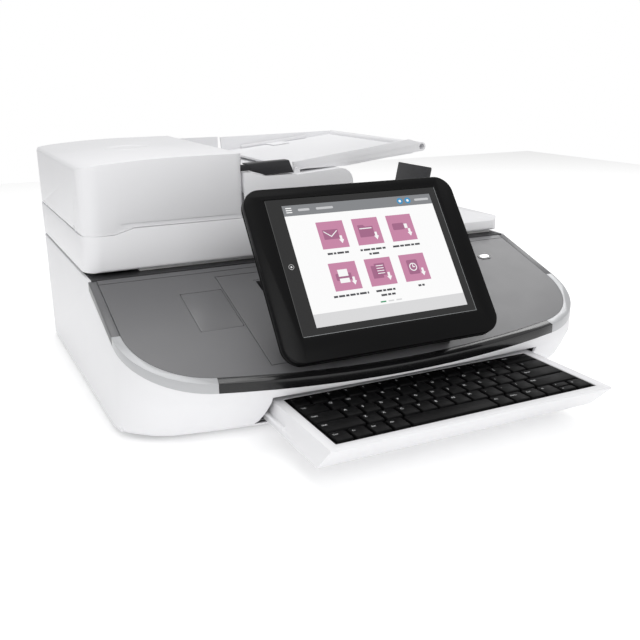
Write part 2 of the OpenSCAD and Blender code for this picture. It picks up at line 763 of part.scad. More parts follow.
// --- Screen -------------------------------------------------------------------------------------
module screen_brackets() {
    color([0.3, 0.3, 0.31]) seat() on_deck(screen_x) for (s = [-1, 1])
        lug_x(s * (lug_x + lug_t / 2 + 0.4 + bracket_t / 2), pin_s, pin_n, bracket_r, screen_pin_r + running,
            bracket_t, -bay_t + 2.5);
}
module screen_pin() {
    color("silver") seat() on_deck(screen_x) rod_x(0, pin_s, pin_n, screen_pin_r,
        2 * (lug_x + lug_t / 2 + bracket_t + 1));
}
module screen_bezel() {
    color([0.08, 0.08, 0.09]) seat() on_screen() difference() {
        translate([-screen_w / 2, 0, -bezel_t]) linear_extrude(bezel_t)
            round_rect(screen_w, screen_h, screen_r);
        translate([-touch_w / 2 - 0.2, touch_v - 0.2, -glass_in]) cube([touch_w + 0.4, touch_h + 0.4, 5]);
        translate([display_x - display_w / 2 - 2, display_v - 2, -20])
            cube([display_w + 4, display_h + 4, 30]);
    }
}
module screen_back() {
    color([0.12, 0.12, 0.13]) seat() on_screen() {
        difference() {
            union() {
                translate([-screen_w / 2, 0, -slab_t]) linear_extrude(slab_t - bezel_t)
                    round_rect(screen_w, screen_h, screen_r);
                translate([-bulge_w / 2, bulge_v, -screen_t]) linear_extrude(screen_t - slab_t + 1)
                    round_rect(bulge_w, bulge_h, 12);
            }
            translate([-bulge_w / 2 + 2.5, bulge_v + 2.5, -screen_t + 2.5]) linear_extrude(screen_t)
                round_rect(bulge_w - 5, bulge_h - 5, 10);
        }
        for (s = [-1, 1])
            lug_x(s * lug_x, hinge_v, -hinge_n, lug_r, screen_pin_r + running, lug_t, -slab_t + 0.5);
    }
}
module touch_glass() {
    color([0.05, 0.05, 0.06]) seat() on_screen() translate([-touch_w / 2, touch_v, -glass_in])
        cube([touch_w, touch_h, glass_in - 0.2]);
}
module display_panel() {
    color("white") seat() on_screen() translate([display_x - display_w / 2 - 1, display_v - 1,
        -glass_in - panel_t]) cube([display_w + 2, display_h + 2, panel_t]);
}

// --- Lid ----------------------------------------------------------------------------------------
chamfer = 4;
lid_r = 20;
lid_roll = 4;
slot_y0 = lid_y + 18;
slot_y1 = lid_y + lid_d - 18;
slot_top = seam_left_z - 4;
function seam(up) = [[-half_w - 5, seam_left_z + up], [-222, seam_left_z + up], [-202, seam_z + up],
    [base_end, seam_z + up]];
// Plan of the lid between x0 and x1, with its front corners rounded by r0 and r1
module lid_plan(x0, x1, r0, r1) {
    intersection() {
        polygon(outline(0, 0, 40));
        polygon(concat(arc(x0 + r0, lid_y + r0, r0, 180, 270, 8), arc(x1 - r1, lid_y + r1, r1, 270, 360, 8),
            [[x1, lid_y + lid_d], [x0, lid_y + lid_d]]));
    }
}
module lid_frame() {
    color("whitesmoke") seat() {
        difference() {
            intersection() {
                union() {
                    intersection() {
                        translate([0, 0, lid_z]) linear_extrude(lid_t)
                            lid_plan(-half_w, half_w, lid_r, lid_r * 0.7);
                        side_cut([[lid_y, lid_z], [lid_y, lid_top - chamfer],
                            [lid_y + 1.5 * chamfer, lid_top], [big, lid_top], [big, lid_z]]);
                    }
                    intersection() {
                        translate([0, 0, lid_z]) linear_extrude(seam_z - lid_z)
                            lid_plan(-half_w, base_end, lid_r, 3);
                        front_cut(concat(seam(0), [[base_end, 0], [-half_w - 5, 0]]), 0, big);
                    }
                }
                // Rolled lower front edge
                side_cut(concat(arc(lid_y + lid_roll, lid_z + lid_roll, lid_roll, 180, 270, 6),
                    [[big, lid_z], [big, big], [lid_y, big]]));
            }
            // Way out for the sheets
            plate(-half_w + 14, base_end + 1, slot_y0, slot_y1, lid_top + 2, slot_top);
            // Hollow under the plate
            plate(-190, half_w - 16, lid_y + 12, lid_y + lid_d - 60, lid_z - 1, lid_top - 3);
            for (x = [-hinge_lx, hinge_lx])
                plate(x - knuckle_l / 2 - 8, x + knuckle_l / 2 + 8, hinge_ly - 44, big,
                    lid_z - 1, lid_z + 10);
        }
        for (y = pin_ears) cover_ear(y);
        for (s = [-1, 1]) stop_ear(s);
    }
}
pin_ears = [cover_y + 40, cover_y + cover_d - 44];
ear_t = 4;
stub = 6;
module cover_ear(y) {
    rod_y(cover_pin_x, y, cover_pin_z, 3.2, ear_t);
    plate(cover_pin_x - 3.2, cover_pin_x + 3.2, y, y + ear_t, seam_left_z - 1, cover_pin_z);
    rod_y(cover_pin_x, y + ear_t - 0.5, cover_pin_z, 1.5, stub);
}
module stop_ear(s) {
    y = s > 0 ? stop_y + stop_w + 0.4 : stop_y - 0.4 - ear_t;
    rod_y(stop_x, y, stop_z, 3.2, ear_t);
    plate(stop_x - 3.2, stop_x + 3.2, y, y + ear_t, lid_top - 1, stop_z);
    rod_y(stop_x, s > 0 ? y - stub : y + ear_t - 0.5, stop_z, 1.5, stub + 0.5);
}
module lid_pad() {
    color("white") seat() plate(-198, half_w - 10, lid_y + 8, lid_y + lid_d - 54, lid_z - 3.4, lid_z);
}
module lid_hinge(x) {
    color("silver") seat() difference() {
        union() {
            rod_x(x, hinge_ly, hinge_lz, knuckle_r - 1, knuckle_l);
            plate(x - knuckle_l / 2, x + knuckle_l / 2, hinge_ly - 42, hinge_ly, lid_z + 6, lid_z + 10);
            plate(x - knuckle_l / 2, x + knuckle_l / 2, hinge_ly - 5, hinge_ly + 5, hinge_lz, lid_z + 10);
        }
        rod_x(x, hinge_ly, hinge_lz, hinge_pin_r + running, knuckle_l + 2);
    }
}
module lid_hinge_left() {
    lid_hinge(-hinge_lx);
}
module lid_hinge_right() {
    lid_hinge(hinge_lx);
}
module hinge_pins() {
    color("silver") seat() for (x = [-hinge_lx, hinge_lx])
        rod_x(x, hinge_ly, hinge_lz, hinge_pin_r, knuckle_l + 10);
}

// --- Feeder -------------------------------------------------------------------------------------
cover_gap = 0.5;
crown = 6;
edge_r = 5;
crown_from = -140;
// Outline of the cover from the front, moved inwards by "in"
function cover_profile(in, end) = concat(
    [[end, (in > 0 ? 0 : seam_z + cover_gap)], [end, feeder_z - in]],
    [for (i = [0:8]) let (x = crown_from + (-half_w + edge_r - crown_from) * i / 8)
        [x, feeder_z - in - crown * pow(i / 8, 2)]],
    arc(-half_w + edge_r, feeder_z - crown - edge_r, edge_r - in, 90, 180, 6),
    in > 0 ? [[-half_w + in, 0]] : concat(arc(cover_pin_x, cover_pin_z, 4, 180, 270, 6),
        [[-222, seam_left_z + cover_gap], [-202, seam_z + cover_gap]]));
cover_r = 8;
// Plan of the cover up to x = end, moved inwards by "in": three round corners and one square one
module cover_plan(in, end) {
    r = lid_r - in;
    r1 = cover_r - in;
    x0 = -half_w + in;
    y0 = cover_y + in;
    y1 = cover_y + cover_d - in;
    polygon(concat(arc(x0 + r, y0 + r, r, 180, 270, 8), arc(end - r1, y0 + r1, r1, 270, 360, 8),
        [[end, y1]], arc(x0 + r, y1 - r, r, 90, 180, 8)));
}
latch_x = -97;
latch_z = 231;
module feeder_cover() {
    color("whitesmoke") seat() {
        difference() {
            intersection() {
                linear_extrude(big) cover_plan(0, cover_end);
                front_cut(cover_profile(0, cover_end), 0, big);
            }
            intersection() {
                linear_extrude(big) {
                    cover_plan(cover_wall, cover_end - cover_wall);
                    translate([cover_end - 10, cover_y + cover_r])
                        square([20, cover_d - cover_r - cover_wall]);
                }
                front_cut(cover_profile(cover_wall, cover_end + 10), 0, big);
            }
            // Slot for the latch's arm
            plate(cover_end - cover_r, cover_end + 1, cover_y + cover_wall, cover_y + 6.4,
                latch_z - 4.2, latch_z + 9);
            // Finger groove over the seam
            plate(-214, cover_end + 1, cover_y - 1, cover_y + 1.4, seam_z, seam_z + 5.5);
            for (y = pin_ears) rod_y(cover_pin_x, y - slip, cover_pin_z, 4.6, ear_t + 2 * slip);
        }
        for (y = pin_ears) difference() {
            intersection() {
                rod_y(cover_pin_x, y + ear_t + slip, cover_pin_z, 3.9, 9);
                plate(-half_w, 0, 0, big, 0, big);
            }
            rod_y(cover_pin_x, y, cover_pin_z, 1.5 + running, 20);
        }
        rod_y(latch_x, cover_y + 2, latch_z, 1.5, 3.8);
    }
}
module cover_latch() {
    color([0.25, 0.25, 0.26]) seat() difference() {
        union() {
            front_cut([[-81, latch_z + 4.5], [-31, latch_z + 6], [-25.5, latch_z - 7.5], [-58, latch_z - 8.5],
                [-72, latch_z - 4.5]], cover_y + 1, 11.5);
            front_cut([[latch_x, latch_z + 3.5], [-75, latch_z + 3.5], [-70, latch_z - 3],
                [latch_x, latch_z - 3.4]], cover_y + 3, 2.6);
            rod_y(latch_x, cover_y + 3, latch_z, 3.5, 2.6);
        }
        rod_y(latch_x, cover_y, latch_z, 1.5 + running, 10);
    }
}
base_top = 227;
cheek_d = 14.5;
cheek_z = 220;
rail_z = 244.5;
plate_ys = [cover_y + cover_r + 1, cover_y + cover_d - 9];
module feeder_base() {
    color("whitesmoke") seat() {
        difference() {
            front_cut(concat([[cover_end + 0.6, seam_z], [base_end, seam_z]],
                arc(base_end - 16, base_top - 18, 16, 0, 90, 8),
                [[-24, base_top - 6], [-50, base_top - 8], [cover_end + 0.6, base_top - 12]]),
                cover_y, cover_d);
            front_cut([[cover_end - 1, seam_z - 1], [base_end - 3, seam_z - 1], [base_end - 3, base_top - 22],
                [base_end - 18, base_top - 7], [-24, base_top - 10], [cover_end - 1, base_top - 15]],
                cover_y + wall, cover_d - 2 * wall);
            plate(cover_end - 1, -23, cover_y - 1, cover_y + cheek_d, cheek_z, big);
            for (y = [tray_y, tray_y + tray_d - 6]) rod_y(pivot_x, y - slip, pivot_z, 4.7, 6 + 2 * slip);
        }
        for (y = plate_ys) difference() {
            front_cut([[-232, seam_z], [cover_end + 2, seam_z], [cover_end + 2, base_top - 13], [-100, 226],
                [-103, 238], [-172, 236], [-232, 205]], y, 3);
            rod_y(pick_x, y - 1, pick_z, shaft_r + running, 5);
            rod_y(feed_x, y - 1, feed_z, shaft_r + running, 5);
        }
        plate(-180, -136, plate_ys[0] + 1, plate_ys[1] + 1, 200, 209);
        // Cheeks in front of and behind the mouth
        front_cut([[cover_end + 0.6, 205], [cover_end + 0.6, latch_z - 4.4], [-74, latch_z - 4.4], [-71, 225],
            [-58, cheek_z + 1.8], [-23, cheek_z + 1.8], [-23, 205]], cover_y, cheek_d);
        front_cut([[cover_end + 0.6, 205], [cover_end + 0.6, rail_z], [-24, rail_z], [-24, 205]],
            tray_y + tray_d + 2, 3);
        for (s = [0, 1]) base_ear(s);
    }
}
module base_ear(s) {
    y = s == 0 ? tray_y - slip - 3 : tray_y + tray_d + slip;
    rod_y(pivot_x, y, pivot_z, 3.6, 3);
    plate(pivot_x - 3.6, pivot_x + 3.6, y, y + 3, 217, pivot_z);
    rod_y(pivot_x, s == 0 ? y + 2.5 : y - 5.5, pivot_z, 2, 6);
}
roller_w = 44;
module roller(x, z) {
    seat() {
        rod_y(x, plate_ys[0] - 2, z, shaft_r, plate_ys[1] - plate_ys[0] + 7);
        for (dy = [-36, 36]) rod_y(x, cover_y + cover_d / 2 + dy - roller_w / 2, z, roller_r, roller_w);
    }
}
module pick_roller() {
    color([0.3, 0.3, 0.3]) roller(pick_x, pick_z);
}
module feed_roller() {
    color([0.3, 0.3, 0.3]) roller(feed_x, feed_z);
}
module separation_pad() {
    color([0.2, 0.2, 0.2]) seat() plate(feed_x - 10, feed_x + 10, cover_y + cover_d / 2 - 26,
        cover_y + cover_d / 2 + 26, 209, feed_z - roller_r - 0.4);
}
input_l = (input_end - pivot_x) / cos(input_a);
side_t = 3;
// Lower part of the tray's side walls
side_foot = [[-2, 1.2], [62, -4.5], [input_l - 4, -2.8], [input_l - 4, 6.8]];
// Places children on the input tray: x runs up the slope and z stands out of it
module on_input() {
    translate([pivot_x, tray_y, pivot_z]) rotate([0, -input_a, 0]) children();
}
module input_tray() {
    color("whitesmoke") seat() on_input() {
        difference() {
            union() {
                translate([-1, 0, 0]) cube([input_l + 1, tray_d, 2.5]);
                front_cut(concat(side_foot, [[input_l - 18, 12.5], [-2, 9.4]]), 0, side_t);
                front_cut(concat(side_foot, [[-2, rail_z - pivot_z]]), tray_d - side_t, side_t);
                rod_y(input_l - 2, 0, 2, 5, tray_d);
                for (y = [0, tray_d - 6]) rod_y(0, y, 0, 4, 6);
                translate([70, 8, -5]) cube([input_l - 80, tray_d - 16, 5.5]);
            }
            for (y = [-1, tray_d - 10]) rod_y(input_l - 2, y, 2, 3.2, 11);
            for (y = [-1, tray_d - 7]) rod_y(0, y, 0, 2 + running, 8);
            translate([73, 11, -6]) cube([input_l - 86, tray_d - 22, 5]);
        }
    }
}
guide_in = (tray_d - sheet_w) / 2;
module paper_guide(y, foot) {
    color([0.85, 0.85, 0.85]) seat() on_input() {
        translate([24, y, 2.8]) cube([96, 2.5, 4]);
        translate([60, min(y, y + foot), 2.8]) cube([24, abs(foot) + 2.5, 1]);
    }
}
module paper_guide_front() {
    paper_guide(guide_in - 2.5, 24);
}
module paper_guide_back() {
    paper_guide(tray_d - guide_in, -24);
}
module paper_stop() {
    color([0.15, 0.15, 0.16]) seat() translate([stop_x, stop_y, stop_z]) rotate([0, stop_lean, 0])
        difference() {
        union() {
            rod_y(0, 0, 0, 3.4, stop_w);
            front_cut([[-stop_t / 2, 0], [stop_t / 2, 0], [stop_t / 2, stop_h - 2], [stop_t / 2 - 1, stop_h],
                [-stop_t / 2, stop_h]], 0, stop_w);
        }
        for (y = [-1, stop_w - 8]) rod_y(0, y, 0, 1.5 + running, 9);
    }
}

base_plate();
lower_shell();
rubber_feet();
case_screws();
deck_panel();
front_strip();
deck_corner_left();
deck_corner_right();
side_strip_left();
side_strip_right();
pocket_cover();
screen_bay();
power_button();
button_ring();
rear_panel();
power_inlet();
port_block();
main_board();
power_supply();
tray_rail_left();
tray_rail_right();
flatbed_frame();
platen_glass();
feeder_glass();
carriage_rods();
scan_carriage();
sensor_bar();
drive_belt();
drive_motor();
belt_pulley();
keyboard_tray();
keyboard_base();
key_row_numbers();
key_row_upper();
key_row_home();
key_row_lower();
key_row_bottom();
space_bar();
screen_brackets();
screen_pin();
screen_bezel();
screen_back();
touch_glass();
display_panel();
lid_frame();
lid_pad();
lid_hinge_left();
lid_hinge_right();
hinge_pins();
feeder_base();
feeder_cover();
cover_latch();
pick_roller();
feed_roller();
separation_pad();
input_tray();
paper_guide_front();
paper_guide_back();
paper_stop();
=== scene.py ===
# %% [markdown]
# # Desktop document scanner with a sheet feeder, a touch screen and a keyboard tray
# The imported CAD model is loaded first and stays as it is. Everything after that adds what the
# eye sees on the real machine: rounded moulding edges, separate keys with printed legends, the
# lit screen, the parting lines, screws and vents, and a finish for every surface.

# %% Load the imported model
import json
import math

import bmesh
import bpy
from mathutils import Matrix, Vector
from mathutils.bvhtree import BVHTree


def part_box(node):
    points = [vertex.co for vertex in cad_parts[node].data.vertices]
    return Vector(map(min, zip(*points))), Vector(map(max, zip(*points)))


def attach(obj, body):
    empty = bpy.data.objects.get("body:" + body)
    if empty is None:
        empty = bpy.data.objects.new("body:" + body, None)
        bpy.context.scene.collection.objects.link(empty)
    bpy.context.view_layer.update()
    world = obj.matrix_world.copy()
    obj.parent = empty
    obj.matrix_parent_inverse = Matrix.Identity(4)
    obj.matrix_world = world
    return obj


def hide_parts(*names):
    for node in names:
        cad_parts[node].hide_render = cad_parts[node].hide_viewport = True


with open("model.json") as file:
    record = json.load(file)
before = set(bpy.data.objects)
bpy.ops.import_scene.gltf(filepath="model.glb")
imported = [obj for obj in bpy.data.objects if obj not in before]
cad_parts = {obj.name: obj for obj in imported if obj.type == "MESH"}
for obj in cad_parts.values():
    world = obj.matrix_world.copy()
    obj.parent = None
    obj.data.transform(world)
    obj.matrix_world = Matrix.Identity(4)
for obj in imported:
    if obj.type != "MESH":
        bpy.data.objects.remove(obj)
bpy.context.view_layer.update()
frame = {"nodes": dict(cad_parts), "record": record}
nodes = frame["nodes"]
record = frame["record"]
body_of = {n: body for body, members in record["behaviour"]["bodies"].items() for n in members}
slot_of = {part["node"]: part["material_slot"] for part in record["subparts"]}
MM = 0.001

# %% [markdown]
# ## Camera
# The machine is seen from the front left, slightly above. A camera could be aimed with a
# tracking constraint, but a turn built from three plain angles keeps the picture exactly the
# same each time: yaw to the right, pitch down and a touch of roll.

# %% Camera
CAMERA_AT = Vector((-391.3, -798.1, 328.6)) * MM
YAW, PITCH, ROLL = (math.radians(a) for a in (26.17, 17.05, 0.49))
lens = bpy.data.cameras.new("camera")
lens.lens = 45.95
lens.sensor_width = 36
lens.clip_start = 0.05
camera = bpy.data.objects.new("camera", lens)
turn = Matrix.Rotation(-YAW, 4, "Z") @ Matrix.Rotation(math.pi / 2 - PITCH, 4, "X")
camera.matrix_world = Matrix.Translation(CAMERA_AT) @ turn @ Matrix.Rotation(-ROLL, 4, "Z")
bpy.context.scene.collection.objects.link(camera)
bpy.context.scene.camera = camera
print("camera at", [round(v, 3) for v in camera.location])

# %% [markdown]
# ## A helper for nodes, and colours
# Materials and Geometry Nodes are both trees of nodes. One small function adds any kind of node,
# sets its settings and fills its sockets, either with a value or with another node's output.
# Colours are written as the sRGB hex values that a paint chart gives, and turned to linear light.

# %% Nodes and colours
def add(tree, kind, settings=None, sockets=None):
    node = tree.nodes.new(kind)
    for name, value in (settings or {}).items():
        setattr(node, name, value)
    for name, value in (sockets or {}).items():
        socket = node.inputs[name]
        if isinstance(value, bpy.types.NodeSocket):
            tree.links.new(value, socket)
        else:
            socket.default_value = value
    return node


def linear(hex_colour):
    parts = [int(hex_colour[i:i + 2], 16) / 255 for i in (1, 3, 5)]
    return [c / 12.92 if c <= 0.04045 else ((c + 0.055) / 1.055) ** 2.4 for c in parts] + [1.0]


def shaded(colour, factor):
    return [c * factor for c in colour[:3]] + [1.0]


print("mid grey in linear light", [round(c, 3) for c in linear("#808080")])

# %% [markdown]
# ## Floor and studio light
# A product like this is best shown on a seamless white sweep under large soft boxes. Area
# lights stand in for the boxes: a big one overhead and behind, whose reflection runs down the
# sloping deck, a wide one at the left for the white shells, and a narrow one at the right that
# draws the second bright band on the deck. The floor is one large pale sheet. Paper under studio
# lamps is nearly as bright as the air behind it, so it glows a little by itself, and the white air
# that the lens sees is brighter than the air that lights the machine.

# %% Floor and lights
FLOOR_REACH = 1.9


def make_floor():
    mesh = bpy.data.meshes.new("floor")
    corners = [(x * FLOOR_REACH, y * FLOOR_REACH, 0) for x, y in ((-1, -1), (1, -1), (1, 1), (-1, 1))]
    mesh.from_pydata(corners, [], [(0, 1, 2, 3)])
    floor = bpy.data.objects.new("floor", mesh)
    bpy.context.scene.collection.objects.link(floor)
    paper = bpy.data.materials.new("white background paper")
    paper.use_nodes = True
    tree = paper.node_tree
    shader = tree.nodes["Principled BSDF"]
    grain = add(tree, "ShaderNodeTexNoise", sockets={"Scale": 900.0, "Detail": 2.0})
    soft = add(tree, "ShaderNodeMapRange",
               sockets={"Value": grain.outputs[0], "To Min": 0.86, "To Max": 0.9})
    grey = add(tree, "ShaderNodeCombineColor",
               sockets={"Red": soft.outputs[0], "Green": soft.outputs[0], "Blue": soft.outputs[0]})
    tree.links.new(grey.outputs[0], shader.inputs["Base Color"])
    shader.inputs["Roughness"].default_value = 0.75
    shader.inputs["Specular IOR Level"].default_value = 0.2
    shader.inputs["Emission Color"].default_value = linear("#FFFFFF")
    shader.inputs["Emission Strength"].default_value = 0.32
    floor.data.materials.append(paper)


def soft_box(name, place, aim, width, height, power):
    lamp = bpy.data.lights.new(name, "AREA")
    lamp.shape = "RECTANGLE"
    lamp.size, lamp.size_y, lamp.energy = width, height, power
    box = bpy.data.objects.new(name, lamp)
    away = Vector(place) - Vector(aim)
    box.matrix_world = Matrix.Translation(Vector(place)) @ away.to_track_quat("Z", "Y").to_matrix().to_4x4()
    bpy.context.scene.collection.objects.link(box)


make_floor()
soft_box("soft box over the back left", (0.1, 1.1, 1.9), (-0.1, -0.1, 0.1), 0.8, 1.2, 7)
soft_box("soft box right", (1.5, 0.9, 1.5), (0.1, -0.1, 0.1), 0.5, 1.2, 6)
soft_box("soft box left", (-2.0, -0.7, 1.2), (0, 0, 0.1), 1.6, 1.6, 5)
soft_box("soft box overhead", (-0.1, 0.1, 2.4), (0, 0.05, 0.1), 1.6, 1.6, 14)
soft_box("soft box front", (-0.3, -2.2, 1.6), (0, 0, 0.1), 2.0, 1.2, 21)
# Plain display colours keep white plastic white, as a catalogue picture shows it
bpy.context.scene.view_settings.view_transform = "Standard"
world = bpy.data.worlds.new("studio air")
bpy.context.scene.world = world
world.use_nodes = True
air = world.node_tree
sight = add(air, "ShaderNodeLightPath")
glow = add(air, "ShaderNodeMapRange",
           sockets={"Value": sight.outputs["Is Camera Ray"], "To Min": 0.45, "To Max": 1.0})
air.nodes["Background"].inputs["Color"].default_value = linear("#FFFFFF")
air.links.new(glow.outputs[0], air.nodes["Background"].inputs["Strength"])

# %% [markdown]
# ## Moulded plastics
# Nearly everything on the outside is injection-moulded plastic. What tells one moulding from
# another is its colour, how glossy its tool was polished, and the fine spark-eroded grain of the
# tool. So one recipe makes them all: a base colour with a faint drift from part to part, a
# roughness that wanders a little, as handled plastic does, and a bump at the grain's real size.

# %% Recipe for a moulded plastic
def moulding(name, colour, roughness, grain_mm=0.6, relief_mm=0.02, drift=0.96, metallic=0.0,
             coat=0.0, specular=0.5):
    """Drift is how dark the darkest patch is, as a share of the colour."""
    made = bpy.data.materials.new(name)
    made.use_nodes = True
    tree = made.node_tree
    shader = tree.nodes["Principled BSDF"]
    place = add(tree, "ShaderNodeTexCoord").outputs["Object"]
    cloud = add(tree, "ShaderNodeTexNoise", sockets={"Vector": place, "Scale": 14.0, "Detail": 2.0})
    paint = add(tree, "ShaderNodeMix", {"data_type": "RGBA"},
                {0: cloud.outputs[0], 6: shaded(linear(colour), drift), 7: linear(colour)})
    tree.links.new(paint.outputs[2], shader.inputs["Base Color"])
    wander = add(tree, "ShaderNodeTexNoise", sockets={"Vector": place, "Scale": 45.0, "Detail": 3.0})
    gloss = add(tree, "ShaderNodeMapRange",
                sockets={"Value": wander.outputs[0], "To Min": roughness - 0.04,
                         "To Max": roughness + 0.04})
    tree.links.new(gloss.outputs[0], shader.inputs["Roughness"])
    grain = add(tree, "ShaderNodeTexNoise",
                sockets={"Vector": place, "Scale": 1 / (grain_mm * MM), "Detail": 1.0})
    bump = add(tree, "ShaderNodeBump",
               sockets={"Height": grain.outputs[0], "Distance": relief_mm * MM, "Strength": 0.6})
    tree.links.new(bump.outputs[0], shader.inputs["Normal"])
    shader.inputs["Metallic"].default_value = metallic
    shader.inputs["IOR"].default_value = 1.5
    shader.inputs["Specular IOR Level"].default_value = specular
    shader.inputs["Coat Weight"].default_value = coat
    shader.inputs["Coat Roughness"].default_value = 0.15
    return made


finish = {}
# ABS from a finely spark-eroded tool: bright, satin, with a grain that is felt more than seen
finish["white_shell"] = moulding("satin white ABS", "#ECECEE", 0.42)
# ABS with a graphite lacquer over fine grain: dark, with broad soft reflections
finish["deck_plastic"] = moulding("graphite lacquered ABS", "#656567", 0.36, grain_mm=0.5,
                                  relief_mm=0.015, drift=0.93)
# ABS from a polished tool: black with sharp reflections
finish["trim_black"] = moulding("polished black ABS", "#161617", 0.2, grain_mm=1.5, relief_mm=0.004)
# Silver-grey lacquer on ABS: light and satin, with a little metal in it
finish["trim_grey"] = moulding("silver-grey lacquered ABS", "#B9BABC", 0.33, grain_mm=0.5,
                               relief_mm=0.01, drift=0.94, metallic=0.2)
# Dark grey ABS, satin. On the flatbed frame's band in front of the lid this dark colour is partly
# painted shade, standing in for the shadow under the lid
finish["trim_dark"] = moulding("dark grey ABS, partly painted lid shade", "#38383A", 0.4, grain_mm=0.5, drift=0.9, specular=0.35)
# Polycarbonate blend of the screen housing: near black and satin
finish["housing_black"] = moulding("satin black polycarbonate", "#080809", 0.36, grain_mm=0.5,
                                   relief_mm=0.012, drift=0.85, specular=0.15)
# Keycaps of PBT, matt with a light tooth
finish["key_plastic"] = moulding("matt black PBT", "#060607", 0.5, grain_mm=0.4, drift=0.85, specular=0.1)
# Nylon of the sockets, the carriage and other inner parts
finish["socket_black"] = moulding("black glass-filled nylon", "#1B1B1C", 0.55, grain_mm=0.4,
                                  relief_mm=0.03, drift=0.8)
print("plastics", len(finish))

# %% [markdown]
# ## Metals, rubber, glass and the rest
# Metals keep the default IOR and get their look from colour, metallic and the direction of their
# grinding marks. Rubber is dark and dull with a soft bump. Glass lets light through, and the
# touch glass is printed black on its back. The circuit board is green lacquer over copper tracks.

# %% Recipe for metals, and the other finishes
def metal(name, colour, roughness, along_mm, across_mm, relief_mm):
    made = bpy.data.materials.new(name)
    made.use_nodes = True
    tree = made.node_tree
    shader = tree.nodes["Principled BSDF"]
    place = add(tree, "ShaderNodeTexCoord").outputs["Object"]
    across = 1 / (across_mm * MM)
    drawn = add(tree, "ShaderNodeMapping",
                sockets={"Vector": place, "Scale": (1 / (along_mm * MM), across, across)})
    marks = add(tree, "ShaderNodeTexNoise",
                sockets={"Vector": drawn.outputs[0], "Scale": 1.0, "Detail": 3.0})
    tone = add(tree, "ShaderNodeMix", {"data_type": "RGBA"},
               {0: marks.outputs[0], 6: shaded(linear(colour), 0.82), 7: linear(colour)})
    tree.links.new(tone.outputs[2], shader.inputs["Base Color"])
    gloss = add(tree, "ShaderNodeMapRange",
                sockets={"Value": marks.outputs[0], "To Min": roughness - 0.06, "To Max": roughness + 0.08})
    tree.links.new(gloss.outputs[0], shader.inputs["Roughness"])
    bump = add(tree, "ShaderNodeBump",
               sockets={"Height": marks.outputs[0], "Distance": relief_mm * MM, "Strength": 0.5})
    tree.links.new(bump.outputs[0], shader.inputs["Normal"])
    shader.inputs["Metallic"].default_value = 1.0
    return made


# Ground bar stock: bright, with fine marks along it
finish["steel"] = metal("ground steel", "#C4C5C8", 0.24, 6, 0.3, 0.004)
# Galvanised sheet: greyer and cloudier
finish["sheet_metal"] = metal("zinc-plated sheet steel", "#A9ACAF", 0.36, 9, 7, 0.01)
# Vacuum-plated button: bright silver under a clear lacquer
finish["button_metal"] = metal("satin plated silver", "#D9DADC", 0.2, 2, 0.4, 0.002)
# Black-oxide motor can
finish["motor_dark"] = metal("black-oxide steel", "#3B3C3F", 0.42, 3, 3, 0.01)
# Nitrile rubber of feet, rollers and belt
finish["rubber"] = moulding("nitrile rubber", "#26272A", 0.7, grain_mm=0.5, relief_mm=0.06, drift=0.8)
# Closed-cell foam sheet behind a thin white film
finish["pad_white"] = moulding("white film over foam", "#F4F4F2", 0.5, grain_mm=2.5, relief_mm=0.05,
                               drift=0.97)
# Solder mask over copper tracks
finish["board"] = moulding("green solder mask", "#14512F", 0.3, grain_mm=2.2, relief_mm=0.03, drift=0.55)
# Printed touch glass: black ink under a polished pane
finish["screen_glass"] = moulding("touch glass printed black", "#060607", 0.07, grain_mm=60,
                                  relief_mm=0.002, drift=0.9, coat=1.0)
# The lit panel's own face, seen only at its rim
finish["display"] = moulding("display panel film", "#E8EAEC", 0.4, grain_mm=3, relief_mm=0.002)


def clear_pane(name):
    made = bpy.data.materials.new(name)
    made.use_nodes = True
    tree = made.node_tree
    shader = tree.nodes["Principled BSDF"]
    place = add(tree, "ShaderNodeTexCoord").outputs["Object"]
    smear = add(tree, "ShaderNodeTexNoise", sockets={"Vector": place, "Scale": 20.0, "Detail": 3.0})
    gloss = add(tree, "ShaderNodeMapRange",
                sockets={"Value": smear.outputs[0], "To Min": 0.0, "To Max": 0.06})
    tree.links.new(gloss.outputs[0], shader.inputs["Roughness"])
    shader.inputs["Base Color"].default_value = linear("#DDEBE6")
    shader.inputs["Transmission Weight"].default_value = 1.0
    shader.inputs["IOR"].default_value = 1.52
    return made


# Float glass, faintly green
finish["clear_glass"] = clear_pane("float glass")
print("finishes", sorted(finish))

# %% Finish on every CAD node
for name, node in nodes.items():
    node.data.materials.clear()
    node.data.materials.append(finish[slot_of[name]])
    node.data.polygons.foreach_set("material_index", [0] * len(node.data.polygons))
print("nodes finished", len(nodes))

# %% [markdown]
# ## Softened mouldings
# A tool never gives a knife edge: every outer edge of a moulding has a small radius, and that
# radius catches the light as a thin line. The CAD solids have sharp edges, so each visible
# moulding is copied, its triangles are joined back into flat faces, and a Bevel modifier rounds
# only the edges that turn by more than a set angle. The CAD node underneath stays for contact.
# The deck panel and the rear panel are pierced in many places, where a bevel would run into its
# neighbour, so they show their CAD faces.

# %% Softening a CAD node
MERGE = 2e-6
BEVEL_FROM = math.radians(32)


def settle(name, mesh, body, slot, *replaced, angle=35):
    """Turns a mesh into a finished piece: smooth faces, sharp where it folds, riding on its body."""
    piece = bpy.data.objects.new(name, mesh)
    bpy.context.scene.collection.objects.link(piece)
    mesh.shade_smooth()
    mesh.set_sharp_from_angle(angle=math.radians(angle))
    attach(piece, body)
    if replaced:
        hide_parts(*replaced)
    return piece


def merged(node):
    """A CAD node's loose triangles, joined where their corners meet."""
    work = bmesh.new()
    work.from_mesh(nodes[node].data)
    bmesh.ops.remove_doubles(work, verts=work.verts, dist=MERGE)
    return work


def carried(data):
    """An object that carries data only until its plain mesh has been taken."""
    carrier = bpy.data.objects.new("carrier", data)
    bpy.context.scene.collection.objects.link(carrier)
    return carrier


